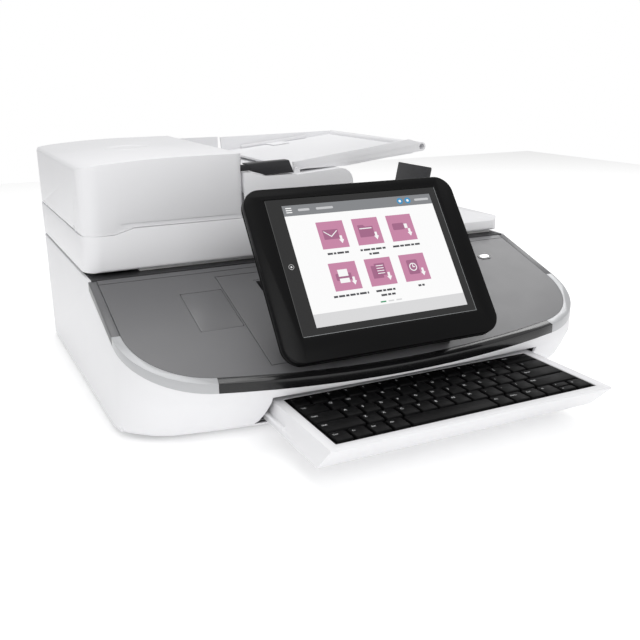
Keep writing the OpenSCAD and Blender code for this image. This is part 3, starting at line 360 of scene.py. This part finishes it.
def plain_mesh(carrier):
    """The mesh that a carrier's modifiers or letters make, with the modifiers and carrier removed."""
    bpy.context.view_layer.update()
    shown = carrier.evaluated_get(bpy.context.evaluated_depsgraph_get())
    mesh = bpy.data.meshes.new_from_object(shown)
    carrier.modifiers.clear()
    bpy.data.objects.remove(carrier)
    return mesh


def soften(node, radius):
    work = merged(node)
    bmesh.ops.dissolve_limit(work, angle_limit=math.radians(0.5), verts=work.verts, edges=work.edges)
    mesh = bpy.data.meshes.new(node + "_soft")
    work.to_mesh(mesh)
    work.free()
    mesh.materials.append(finish[slot_of[node]])
    carrier = carried(mesh)
    bevel = carrier.modifiers.new("bevel", "BEVEL")
    bevel.width, bevel.segments = radius * MM, 2
    bevel.limit_method, bevel.angle_limit = "ANGLE", BEVEL_FROM
    bevel.miter_outer = "MITER_ARC"
    return settle(node + "_moulding", plain_mesh(carrier), body_of[node], slot_of[node], node, angle=40)


soft_edges = {
    "lower_shell": 0.8, "front_strip": 0.6, "deck_corner_left": 0.6, "deck_corner_right": 0.6,
    "side_strip_left": 0.6, "side_strip_right": 0.6, "pocket_cover": 0.4, "keyboard_tray": 0.6,
    "keyboard_base": 0.4,
    "screen_bezel": 1.6, "screen_back": 1.6, "lid_frame": 1.2, "feeder_base": 1.2,
    "feeder_cover": 1.0, "cover_latch": 1.0, "input_tray": 0.5, "paper_guide_front": 0.5,
    "paper_guide_back": 0.5, "paper_stop": 0.8,
}
for node, radius in soft_edges.items():
    piece = soften(node, radius)
    print(node, "faces", len(piece.data.polygons))

# %% [markdown]
# ## The screen's own axes
# The screen leans back, so nothing on it lines up with the room. The pane of glass itself tells
# where it is: its largest forward face gives the outward direction, and its lower left corner
# becomes the zero point. After this, a point on the screen is written as millimetres to the
# right, up the glass, and out of it.

# %% Axes of a leaning face
def face_axes(node):
    mesh = nodes[node].data
    forward = (p for p in mesh.polygons if p.normal.y < -0.2 and p.normal.z > -0.6)
    out = max(forward, key=lambda p: p.area).normal.normalized()
    right = Vector((1, 0, 0))
    up = out.cross(right).normalized()
    points = [v.co for v in mesh.vertices]
    low = Vector((min(p.dot(right) for p in points), min(p.dot(up) for p in points),
                  max(p.dot(out) for p in points)))
    turn = Matrix((right, up, out)).transposed()
    return Matrix.Translation(turn @ low) @ turn.to_4x4() @ Matrix.Scale(MM, 4)


on_glass = face_axes("touch_glass")
lean = math.degrees(math.atan2(on_glass.col[1][2], on_glass.col[1][1]))
print("the glass leans", round(lean, 1), "degrees, corner", [round(v, 4) for v in on_glass.translation])

# %% [markdown]
# ## The lit picture on the screen
# The display shows a start page: a grey status bar, six coloured tiles with a pictogram and a
# caption each, a page mark and a foot bar. A picture file could be pasted on, but drawn shapes
# stay crisp from near and far. Each shape is a very thin plate, stacked like prints, and each
# ink glows a little because a lamp stands behind it. Captions are plain bars, without words.

# %% Outlines for flat shapes
def bar(left, low, right, high):
    return [(left, low), (right, low), (right, high), (left, high)]


def disc(x, y, radius, steps=24):
    return [(x + radius * math.cos(math.tau * i / steps), y + radius * math.sin(math.tau * i / steps))
            for i in range(steps)]


def round_bar(left, low, right, high, radius, steps=5):
    corners = [(right - radius, low + radius, -90), (right - radius, high - radius, 0),
               (left + radius, high - radius, 90), (left + radius, low + radius, 180)]
    return [(x + radius * math.cos(math.radians(start + 90 * i / steps)),
             y + radius * math.sin(math.radians(start + 90 * i / steps)))
            for x, y, start in corners for i in range(steps + 1)]


def moved(outline, x, y):
    return [(x + u, y + v) for u, v in outline]


def print_shape(work, outline, low, high, ink=0, hole=None):
    """Adds a closed plate between two heights. With a hole of as many points it becomes a frame."""
    def ring(points, height):
        return [work.verts.new((u, v, height)) for u, v in points]
    count = len(outline)
    faces = []
    rim_low, rim_high = ring(outline, low), ring(outline, high)
    if hole:
        hole_low, hole_high = ring(hole, low), ring(hole, high)
    for i in range(count):
        j = (i + 1) % count
        faces.append((rim_low[i], rim_low[j], rim_high[j], rim_high[i]))
        if hole:
            faces.append((hole_low[j], hole_low[i], hole_high[i], hole_high[j]))
            faces.append((rim_high[i], rim_high[j], hole_high[j], hole_high[i]))
            faces.append((rim_low[j], rim_low[i], hole_low[i], hole_low[j]))
    if not hole:
        faces += [tuple(rim_high), tuple(reversed(rim_low))]
    for corners in faces:
        work.faces.new(corners).material_index = ink


def finished_mesh(work, name, place=None, materials=()):
    mesh = bpy.data.meshes.new(name)
    work.to_mesh(mesh)
    work.free()
    if place:
        mesh.transform(place)
    for material in materials:
        mesh.materials.append(material)
    return mesh


print("corner points of a rounded bar", len(round_bar(0, 0, 10, 5, 1)))

# %% Inks that glow
def glowing_ink(name, colour, glow=0.97):
    """Liquid-crystal picture point colour, lit from behind through a faint dot pattern."""
    made = bpy.data.materials.new(name)
    made.use_nodes = True
    tree = made.node_tree
    shader = tree.nodes["Principled BSDF"]
    place = add(tree, "ShaderNodeTexCoord").outputs["Object"]
    dots = add(tree, "ShaderNodeTexNoise", sockets={"Vector": place, "Scale": 1400.0, "Detail": 0.0})
    lamp = add(tree, "ShaderNodeMix", {"data_type": "RGBA"},
               {0: dots.outputs[0], 6: shaded(linear(colour), 0.95), 7: linear(colour)})
    tree.links.new(lamp.outputs[2], shader.inputs["Emission Color"])
    shader.inputs["Emission Strength"].default_value = glow
    shader.inputs["Base Color"].default_value = linear("#0A0A0A")
    shader.inputs["Roughness"].default_value = 0.12
    shader.inputs["IOR"].default_value = 1.5
    return made


inks = {
    "field": glowing_ink("lit white field", "#FFFFFF"),
    "bar": glowing_ink("lit grey bar", "#85878A"),
    "foot": glowing_ink("lit light grey bar", "#DCDCDD"),
    "tile": glowing_ink("lit rose tile", "#C987A8"),
    "tile_dark": glowing_ink("lit plum pictogram", "#A5688A"),
    "white": glowing_ink("lit white mark", "#FBFBFB"),
    "caption": glowing_ink("lit dark caption", "#4A4A4E"),
    "blue": glowing_ink("lit blue mark", "#3F93C4"),
    "green": glowing_ink("lit green mark", "#3E9A6C"),
    "pale": glowing_ink("lit pale mark", "#C9CACC"),
}
ink_number = {name: i for i, name in enumerate(inks)}
print("inks", list(inks))

# %% The start page
# The lit panel's size, and its lower left corner on the glass
PANEL_W, PANEL_H = 162.4, 121.8
PANEL_AT = (15.3, 7.1)
STATUS_LOW, FOOT_HIGH = 110.8, 12.6
TILE = 28.0
TILE_LEFT, TILE_STEP, TILE_LOWS = 28.8, 37.7, (73.9, 31.3)
FIRST_LAYER, LAYER = 0.03, 0.02
picture = bmesh.new()


def draw(outline, ink, level, hole=None):
    low = FIRST_LAYER + LAYER * level
    print_shape(picture, moved(outline, *PANEL_AT), low, low + LAYER, ink_number[ink],
                moved(hole, *PANEL_AT) if hole else None)


draw(bar(0, 0, PANEL_W, PANEL_H), "field", 0)
draw(bar(0, STATUS_LOW, PANEL_W, PANEL_H), "bar", 1)
draw(bar(0, 0, PANEL_W, FOOT_HIGH), "foot", 1)
# Status bar: a menu mark, two plain bars, two round blue marks and a bar where the clock goes
for row in (114, 116.2, 118.4):
    draw(bar(3, row, 9, row + 1), "white", 2)
for left, right in ((15.3, 27.1), (33.9, 51.9), (143, 159.4)):
    draw(round_bar(left, 115.2, right, 117.6, 1), "pale", 2)
for x in (126.2, 135.1):
    draw(disc(x, 116.4, 3.4), "blue", 2)
    draw(disc(x, 116.4, 1.4), "white", 3)

# Each caption has one or two lines, from left to right end, broken into bars as long as words
CAPTIONS = (((31.8, 54.5),), ((66.5, 95.3), (74.6, 87.0)), ((102.2, 134.3),),
            ((25.3, 61.8),), ((69.5, 92.5), (73.4, 88.8)), ((115.7, 122.8),))
WORD_LENGTHS = (5.5, 2.6, 7.0, 4.2, 6.2, 3.4)
WORD_GAP, SHORTEST_WORD = 1.0, 1.5
CAPTION_DROP, LINE_DROP = 5.0, 4.6
tile_corners = [(TILE_LEFT + TILE_STEP * column, low) for low in TILE_LOWS for column in range(3)]
for number, (left, low) in enumerate(tile_corners):
    draw(bar(left, low, left + TILE, low + TILE), "tile", 1)
    for line, (x, end) in enumerate(CAPTIONS[number]):
        y = low - CAPTION_DROP - LINE_DROP * line
        word = number
        while x < end - SHORTEST_WORD:
            stop = min(x + WORD_LENGTHS[word % len(WORD_LENGTHS)], end)
            draw(bar(x, y - 1.0, stop, y + 1.0), "caption", 1)
            x, word = stop + WORD_GAP, word + 1
draw(bar(70.5, 14.6, 76.5, 16.0), "green", 1)
draw(bar(79, 14.6, 85, 16.0), "foot", 1)
draw(bar(87.5, 14.6, 93.5, 16.0), "foot", 1)
print("picture faces so far", len(picture.faces))

# %% Pictograms on the tiles
ICON_X = 12.5
ARROW = [(-1.2, 4), (-1.2, 0), (-2.6, 0), (0, -4.2), (2.6, 0), (1.2, 0), (1.2, 4)]
ARROW_AT = (21.8, 8.5)


def at_tile(outline, number, x, y):
    left, low = tile_corners[number]
    return moved(outline, left + x, low + y)


for number in range(len(tile_corners)):
    draw(at_tile(ARROW, number, *ARROW_AT), "white", 4)
# Letter, folder, memory stick, printer, two sheets and one sheet with a clock: each row gives the
# tile, the height of the drawing's middle, its outline, the ink and the layer
page_lines = [(4, 14.5, bar(-1.8, 5.2 - 2.6 * line, 5.8, 6.0 - 2.6 * line), "white", 3)
              for line in range(4)]
PICTOGRAMS = [
    (0, 14.5, bar(-8, -5, 8, 5), "tile_dark", 2),
    (0, 14.5, [(-7, 4), (0, -1.5), (7, 4), (7, 3), (0, -2.7), (-7, 3)], "white", 3),
    (1, 14, [(-8, -6), (8, -6), (8, 5), (0, 5), (-2, 7), (-8, 7)], "tile_dark", 2),
    (1, 14, bar(-6.6, 2.6, 6.6, 3.6), "white", 3),
    (2, 15.5, round_bar(-8, -3.6, 5, 3.6, 1.2), "tile_dark", 2),
    (2, 15.5, bar(5, -2.4, 8.5, 2.4), "white", 2),
    (3, 14, round_bar(-8, -4, 8, 3, 1), "tile_dark", 2),
    (3, 14, bar(-5, 0, 5, 7), "white", 3),
    (3, 14, bar(-5, -6.5, 5, -2), "white", 3),
    (4, 14.5, bar(-7.5, -7, 3.5, 6), "tile_dark", 2),
    (4, 14.5, bar(-3.5, -4.5, 7.5, 8), "tile_dark", 2),
    *page_lines,
    (5, 14.5, round_bar(-6, -7.5, 6, 7.5, 1.5), "tile_dark", 2),
    (5, 14.5, bar(-0.5, -0.4, 0.5, 2.8), "white", 3),
    (5, 14.5, bar(0.5, -0.4, 2.2, 0.5), "white", 3),
]
for number, middle, outline, ink, level in PICTOGRAMS:
    draw(at_tile(outline, number, ICON_X, middle), ink, level)
clock_face, clock_hole = (at_tile(disc(0, 0, radius), 5, ICON_X, 14.5) for radius in (4.2, 3.2))
draw(clock_face, "white", 3, clock_hole)
page = finished_mesh(picture, "start_page", on_glass, list(inks.values()))
lit = settle("lit_start_page", page, "screen", "display")
print("start page faces", len(lit.data.polygons))

# %% [markdown]
# ## Pane, home mark and the thin rims with a painted highlight
# The pane lies in the housing with a hair of play, and its ground edge shows as a bright line at
# the right and along the bottom. That line is a painted highlight: a bright silver strip laid on
# those two sides only, where the light catches the edge. The pane is made as a chamfered plate,
# so that the light finds the chamfer by itself. A small ring printed at the left is the home mark.

# %% Pane of touch glass
glass_low, glass_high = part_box("touch_glass")
GLASS_W = (glass_high.x - glass_low.x) / MM
GLASS_H = max((on_glass.inverted() @ v.co).y for v in nodes["touch_glass"].data.vertices)
pane = bmesh.new()
levels = [(0.0, -1.8), (0.0, -0.45), (0.45, 0.0)]
rings = [[pane.verts.new((u, v, z)) for u, v in round_bar(i, i, GLASS_W - i, GLASS_H - i, 1.2)]
         for i, z in levels]
for lower, upper in zip(rings, rings[1:]):
    for i in range(len(lower)):
        j = (i + 1) % len(lower)
        pane.faces.new((lower[i], lower[j], upper[j], upper[i]))
pane.faces.new(rings[-1])
pane.faces.new(list(reversed(rings[0])))
pane_mesh = finished_mesh(pane, "pane", on_glass, [finish["screen_glass"]])
settle("touch_glass_pane", pane_mesh, "screen", "screen_glass", "touch_glass", angle=20)

# Ground edge with a painted highlight: a bright silver line laid only at the right and along the
# bottom, where the light catches the edge
ground = metal("polished glass edge", "#D5D8DA", 0.18, 4, 4, 0.001)
rim = bmesh.new()
outer, inner = 0.1, 0.55
print_shape(rim, bar(inner, outer, GLASS_W - inner, inner), -0.5, 0.02)
print_shape(rim, bar(GLASS_W - inner, outer, GLASS_W - outer, GLASS_H - inner), -0.5, 0.02)
settle("touch_glass_edge", finished_mesh(rim, "rim", on_glass, [ground]), "screen", "screen_glass")

mark_ink = moulding("white printed mark", "#E6E6E6", 0.4, grain_mm=1.0, relief_mm=0.002)
home = bmesh.new()
at_home = (PANEL_AT[0] - 7.4, PANEL_AT[1] + 60.5)
house = [(-0.9, -0.9), (0.9, -0.9), (0.9, 0.1), (0, 1.1), (-0.9, 0.1)]
print_shape(home, moved(disc(0, 0, 2.6), *at_home), 0.02, 0.05, 0, moved(disc(0, 0, 2.3), *at_home))
print_shape(home, moved(house, *at_home), 0.02, 0.05)
settle("home_mark", finished_mesh(home, "home", on_glass, [mark_ink]), "screen", "screen_glass")
print("pane", round(GLASS_W, 1), "by", round(GLASS_H, 1), "mm")

# %% [markdown]
# ## Keycaps
# The CAD has a plain block for every key. A real cap has rounded corners, walls that lean in and
# a soft top edge. Every cap is the same little shape, only wider or shallower, so this is work
# for Geometry Nodes: one cap is drawn from a rounded rectangle, put on a point for each key, and
# its right half is slid outwards by the extra width that the point carries. The corners keep
# their radius that way, which scaling would spoil.

# %% A tree with named inputs
def new_tree(name, inputs):
    """An empty Geometry Nodes tree: inputs are (name, socket kind, value)."""
    tree = bpy.data.node_groups.new(name, "GeometryNodeTree")
    tree.interface.new_socket("Geometry", in_out="INPUT", socket_type="NodeSocketGeometry")
    tree.interface.new_socket("Geometry", in_out="OUTPUT", socket_type="NodeSocketGeometry")
    for label, kind, value in inputs:
        socket = tree.interface.new_socket(label, in_out="INPUT", socket_type="NodeSocket" + kind)
        if value is not None:
            socket.default_value = value
    return tree, add(tree, "NodeGroupInput"), add(tree, "NodeGroupOutput")


def run_tree(tree, mesh, **values):
    """Runs a tree on a mesh, with its inputs set by their identifiers, and returns a plain mesh."""
    carrier = carried(mesh)
    modifier = carrier.modifiers.new("nodes", "NODES")
    modifier.node_group = tree
    for socket in tree.interface.items_tree:
        label = socket.name.lower().replace(" ", "_")
        if socket.in_out == "INPUT" and label in values:
            modifier[socket.identifier] = values[label]
    return plain_mesh(carrier)


# %% The keycap tree
# How far the walls lean in and how far the soft edge draws in the top, as shares of the outline
LEAN, CROWN = 0.94, 0.95
caps, cap_in, cap_out = new_tree("keycaps", [
    ("Width", "Float", 0.0161), ("Depth", "Float", 0.0181), ("Height", "Float", 0.003),
    ("Corner radius", "Float", 0.0016), ("Edge", "Float", 0.0004), ("Finish", "Material", None)])
pick = cap_in.outputs
outline = add(caps, "GeometryNodeCurvePrimitiveQuadrilateral",
              sockets={"Width": pick["Width"], "Height": pick["Depth"]})
rounded = add(caps, "GeometryNodeFilletCurve", {"mode": "POLY"},
              {"Curve": outline.outputs[0], "Radius": pick["Corner radius"], "Count": 3})
foot = add(caps, "GeometryNodeFillCurve", {"mode": "NGONS"}, {"Curve": rounded.outputs[0]})
wall_rise = add(caps, "ShaderNodeMath", {"operation": "SUBTRACT"}, {0: pick["Height"], 1: pick["Edge"]})
walls = add(caps, "GeometryNodeExtrudeMesh", {"mode": "FACES"},
            {"Mesh": foot.outputs[0], "Offset Scale": wall_rise.outputs[0]})
drawn_in = add(caps, "GeometryNodeScaleElements", None,
               {"Geometry": walls.outputs["Mesh"], "Selection": walls.outputs["Top"], "Scale": LEAN})
lip = add(caps, "GeometryNodeExtrudeMesh", {"mode": "FACES"},
          {"Mesh": drawn_in.outputs[0], "Selection": walls.outputs["Top"], "Offset Scale": pick["Edge"]})
crown = add(caps, "GeometryNodeScaleElements", None,
            {"Geometry": lip.outputs["Mesh"], "Selection": lip.outputs["Top"], "Scale": CROWN})
under = add(caps, "GeometryNodeFlipFaces", sockets={"Mesh": foot.outputs[0]})
whole = add(caps, "GeometryNodeJoinGeometry")
for part in (under.outputs[0], crown.outputs[0]):
    caps.links.new(part, whole.inputs[0])
sealed = add(caps, "GeometryNodeMergeByDistance", sockets={"Geometry": whole.outputs[0], "Distance": 1e-6})
spot = add(caps, "GeometryNodeInputPosition")
tagged = add(caps, "GeometryNodeStoreNamedAttribute", {"data_type": "FLOAT_VECTOR", "domain": "POINT"},
             {"Geometry": sealed.outputs[0], "Name": "on_cap", "Value": spot.outputs[0]})
placed = add(caps, "GeometryNodeInstanceOnPoints",
             sockets={"Points": pick["Geometry"], "Instance": tagged.outputs[0]})
real = add(caps, "GeometryNodeRealizeInstances", sockets={"Geometry": placed.outputs[0]})
on_cap = add(caps, "GeometryNodeInputNamedAttribute", {"data_type": "FLOAT_VECTOR"}, {"Name": "on_cap"})
extra = add(caps, "GeometryNodeInputNamedAttribute", {"data_type": "FLOAT_VECTOR"}, {"Name": "extra"})
side = add(caps, "ShaderNodeVectorMath", {"operation": "SIGN"}, {0: on_cap.outputs[0]})
slide = add(caps, "ShaderNodeVectorMath", {"operation": "MULTIPLY"},
            {0: side.outputs[0], 1: extra.outputs[0]})
stretched = add(caps, "GeometryNodeSetPosition",
                sockets={"Geometry": real.outputs[0], "Offset": slide.outputs[0]})
coated = add(caps, "GeometryNodeSetMaterial",
             sockets={"Geometry": stretched.outputs[0], "Material": pick["Finish"]})
caps.links.new(coated.outputs[0], cap_out.inputs[0])
print("nodes in the keycap tree", len(caps.nodes))

# %% One cap on every block of the CAD
def blocks(node):
    """The boxes of a node's separate solids, in rows from left to right."""
    work = merged(node)
    left, boxes = set(work.verts), []
    while left:
        island, edge = set(), [left.pop()]
        while edge:
            vert = edge.pop()
            island.add(vert)
            for e in vert.link_edges:
                other = e.other_vert(vert)
                if other in left:
                    left.remove(other)
                    edge.append(other)
        points = [v.co for v in island]
        boxes.append([Vector(f(p[i] for p in points) for i in range(3)) for f in (min, max)])
    work.free()
    return sorted(boxes, key=lambda b: (round(b[0].x, 4), -b[0].y))


key_rows = ["key_row_numbers", "key_row_upper", "key_row_home", "key_row_lower", "key_row_bottom",
            "space_bar"]
key_boxes = {row: blocks(row) for row in key_rows}
first = key_boxes["key_row_numbers"][0]
CAP_W, CAP_D, CAP_H = first[1] - first[0]
for row, boxes in key_boxes.items():
    points = bpy.data.meshes.new(row + "_points")
    middles = [(low + high) / 2 for low, high in boxes]
    points.from_pydata([(m.x, m.y, low.z) for m, (low, high) in zip(middles, boxes)], [], [])
    spare = points.attributes.new("extra", "FLOAT_VECTOR", "POINT")
    for i, (low, high) in enumerate(boxes):
        spare.data[i].vector = ((high.x - low.x - CAP_W) / 2, (high.y - low.y - CAP_D) / 2, 0)
    done = run_tree(caps, points, width=CAP_W, depth=CAP_D, height=CAP_H, finish=finish["key_plastic"])
    settle(row + "_caps", done, body_of[row], "key_plastic", row, angle=50)
    print(row, "keys", len(boxes), "faces", len(done.polygons))

# %% [markdown]
# ## Legends
# The legends are pad-printed in white, in a plain sans letter at the top left of each cap. Blender's
# built-in letter shapes are outlines, so they are turned into a mesh with a hair of thickness and
# laid on the caps. Words on the wide keys are set smaller than the single letters.

# %% Legends on the caps
LEGENDS = {
    "key_row_numbers": list("`1234567890-=") + ["Back"],
    "key_row_upper": ["Tab"] + list("QWERTYUIOP[]") + ["\\"],
    "key_row_home": ["Caps"] + list("ASDFGHJKL;'") + ["Enter"],
    "key_row_lower": ["Shift"] + list("ZXCVBNM,./") + ["Shift"],
    "key_row_bottom": ["Ctrl", "Fn", "Sys", "Alt", "Alt", "Menu", "Ctrl", "<", "^", "v", ">"],
}
legend_ink = moulding("white pad print", "#D9DADC", 0.55, grain_mm=0.4, relief_mm=0.003)
# Sizes in mm: the letters, their thickness, and where the line of letters starts on the cap
LETTER, WORD, INK = 4.2, 3.0, 0.03
FROM_LEFT, FROM_TOP, FROM_TOP_OF_HALF_KEY = 2.4, 6.6, 4.6


def letters(word, size):
    """A word as a thin closed mesh, with its lower left corner at zero."""
    curve = bpy.data.curves.new("letters", "FONT")
    curve.body = word
    curve.size = size
    curve.extrude = INK * MM
    curve.resolution_u = 2
    return plain_mesh(carried(curve))


for row, words in LEGENDS.items():
    together = bmesh.new()
    for word, (low, high) in zip(words, key_boxes[row]):
        half_key = high.y - low.y < 0.7 * CAP_D
        mesh = letters(word, (LETTER if len(word) == 1 and not half_key else WORD) * MM)
        down = FROM_TOP_OF_HALF_KEY if half_key else FROM_TOP
        mesh.transform(Matrix.Translation((low.x + FROM_LEFT * MM, high.y - down * MM, high.z + 0.02 * MM)))
        together.from_mesh(mesh)
    bmesh.ops.remove_doubles(together, verts=together.verts, dist=1e-7)
    bmesh.ops.recalc_face_normals(together, faces=together.faces)
    legends = finished_mesh(together, "legends", None, [legend_ink])
    printed = settle(row + "_legends", legends, body_of[row], "key_plastic")
    print(row, "legend faces", len(printed.data.polygons))

# %% [markdown]
# ## Round recess on the feeder
# The top of the feeder's cover carries a plain round field. The cover's top is slightly crowned, so
# the field can't be a flat disc. A ray sent straight down finds the height of the cover under every
# point of the disc, and the disc is laid on it like a label, with a rim a hair higher.

# %% Laying a disc on a curved top
def surface_height(node):
    """A function that gives the height of a node's top at x, y in metres."""
    mesh = nodes[node].data
    tree = BVHTree.FromPolygons([v.co for v in mesh.vertices], [p.vertices for p in mesh.polygons])
    def height(x, y):
        return tree.ray_cast(Vector((x, y, 1.0)), Vector((0, 0, -1)))[0].z
    return height


def laid_disc(middle, height, profile, steps=64):
    """A closed disc that follows a surface. The profile is (radius, height over the surface) in mm."""
    work = bmesh.new()
    rings = []
    for radius, rise in profile:
        ring = []
        for i in range(steps):
            turn = math.tau * i / steps
            x, y = middle[0] + radius * MM * math.cos(turn), middle[1] + radius * MM * math.sin(turn)
            ring.append(work.verts.new((x, y, height(x, y) + rise * MM)))
        rings.append(ring)
    for inner, outer in zip(rings, rings[1:]):
        for i in range(steps):
            j = (i + 1) % steps
            work.faces.new((inner[i], outer[i], outer[j], inner[j]))
    work.faces.new(rings[0])
    work.faces.new(list(reversed(rings[-1])))
    return work


FIELD_FROM_LEFT, FIELD_BEHIND_MIDDLE = 83, 3
FIELD_PROFILE = [(2, 0.06), (12, 0.06), (23.2, 0.06), (23.6, 0.3), (24.6, 0.3), (25, 0.02), (25, -0.4)]
cover_low, cover_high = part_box("feeder_cover")
field_at = (cover_low.x + FIELD_FROM_LEFT * MM, (cover_low.y + cover_high.y) / 2 + FIELD_BEHIND_MIDDLE * MM)
round_field = laid_disc(field_at, surface_height("feeder_cover"), FIELD_PROFILE)
field_mesh = finished_mesh(round_field, "field", None, [finish["white_shell"]])
settle("feeder_round_field", field_mesh, "cover", "white_shell")
print("round field at", [round(v / MM) for v in field_at])

# %% [markdown]
# ## Screws
# The rear panel is held by countersunk screws with a cross recess, which end all but flush with
# it. All are the same, so one head is drawn in Geometry Nodes, a flat cone with two crossed bars
# of shade for the recess, and set on one point for each screw.

# %% The screw tree
screws, screw_in, screw_out = new_tree("screw heads", [
    ("Radius", "Float", 0.003), ("Rise", "Float", 0.0001), ("Bar", "Float", 0.0002),
    ("Turn", "Rotation", None), ("Finish", "Material", None), ("Shade", "Material", None)])
asked = screw_in.outputs


def share(factor):
    """A share of the head's radius."""
    product = add(screws, "ShaderNodeMath", {"operation": "MULTIPLY"}, {0: asked["Radius"], 1: factor})
    return product.outputs[0]


head = add(screws, "GeometryNodeMeshCone", {"fill_type": "NGON"},
           {"Vertices": 24, "Side Segments": 1, "Radius Top": share(0.78),
            "Radius Bottom": asked["Radius"], "Depth": asked["Rise"]})
# The cross recess is not cut: two dark bars laid on the head are painted shade where the recess would lie
# in shadow
bar_size = add(screws, "ShaderNodeCombineXYZ", sockets={0: share(0.95), 1: share(0.22), 2: asked["Bar"]})
one_bar = add(screws, "GeometryNodeMeshCube", sockets={"Size": bar_size.outputs[0]})
lift = add(screws, "ShaderNodeCombineXYZ", sockets={2: asked["Rise"]})
cross = add(screws, "GeometryNodeJoinGeometry")
for quarter in (0.25, 0.75):
    turned = add(screws, "GeometryNodeTransform",
                 sockets={"Geometry": one_bar.outputs[0], "Translation": lift.outputs[0],
                          "Rotation": (0.0, 0.0, math.pi * quarter)})
    screws.links.new(turned.outputs[0], cross.inputs[0])
marked = add(screws, "GeometryNodeStoreNamedAttribute", {"data_type": "BOOLEAN", "domain": "FACE"},
             {"Geometry": cross.outputs[0], "Name": "recess", "Value": True})
screw = add(screws, "GeometryNodeJoinGeometry")
for part in (marked.outputs[0], head.outputs[0]):
    screws.links.new(part, screw.inputs[0])
set_out = add(screws, "GeometryNodeInstanceOnPoints",
              sockets={"Points": asked["Geometry"], "Instance": screw.outputs[0],
                       "Rotation": asked["Turn"]})
solid = add(screws, "GeometryNodeRealizeInstances", sockets={"Geometry": set_out.outputs[0]})
plated = add(screws, "GeometryNodeSetMaterial",
             sockets={"Geometry": solid.outputs[0], "Material": asked["Finish"]})
recess = add(screws, "GeometryNodeInputNamedAttribute", {"data_type": "BOOLEAN"}, {"Name": "recess"})
shaded_in = add(screws, "GeometryNodeSetMaterial",
                sockets={"Geometry": plated.outputs[0], "Material": asked["Shade"],
                         "Selection": recess.outputs[0]})
screws.links.new(shaded_in.outputs[0], screw_out.inputs[0])
print("nodes in the screw tree", len(screws.nodes))

# %% Screws on the rear panel
SCREW_INSET = 12 * MM
FACING_BACK = (-math.pi / 2, 0, 0)
panel_low, panel_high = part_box("rear_panel")
places = [(x, panel_high.y, z) for x in (panel_low.x + SCREW_INSET, 0.0, panel_high.x - SCREW_INSET)
          for z in (panel_low.z + SCREW_INSET, panel_high.z - SCREW_INSET)]
points = bpy.data.meshes.new("screw_points")
points.from_pydata(places, [], [])
# The recess bars take the black nylon finish as painted shade
heads = run_tree(screws, points, turn=FACING_BACK, finish=finish["steel"], shade=finish["socket_black"])
settle("rear_panel_screws", heads, "base", "steel", angle=30)
print("rear panel screws", len(places), "faces", len(heads.polygons))
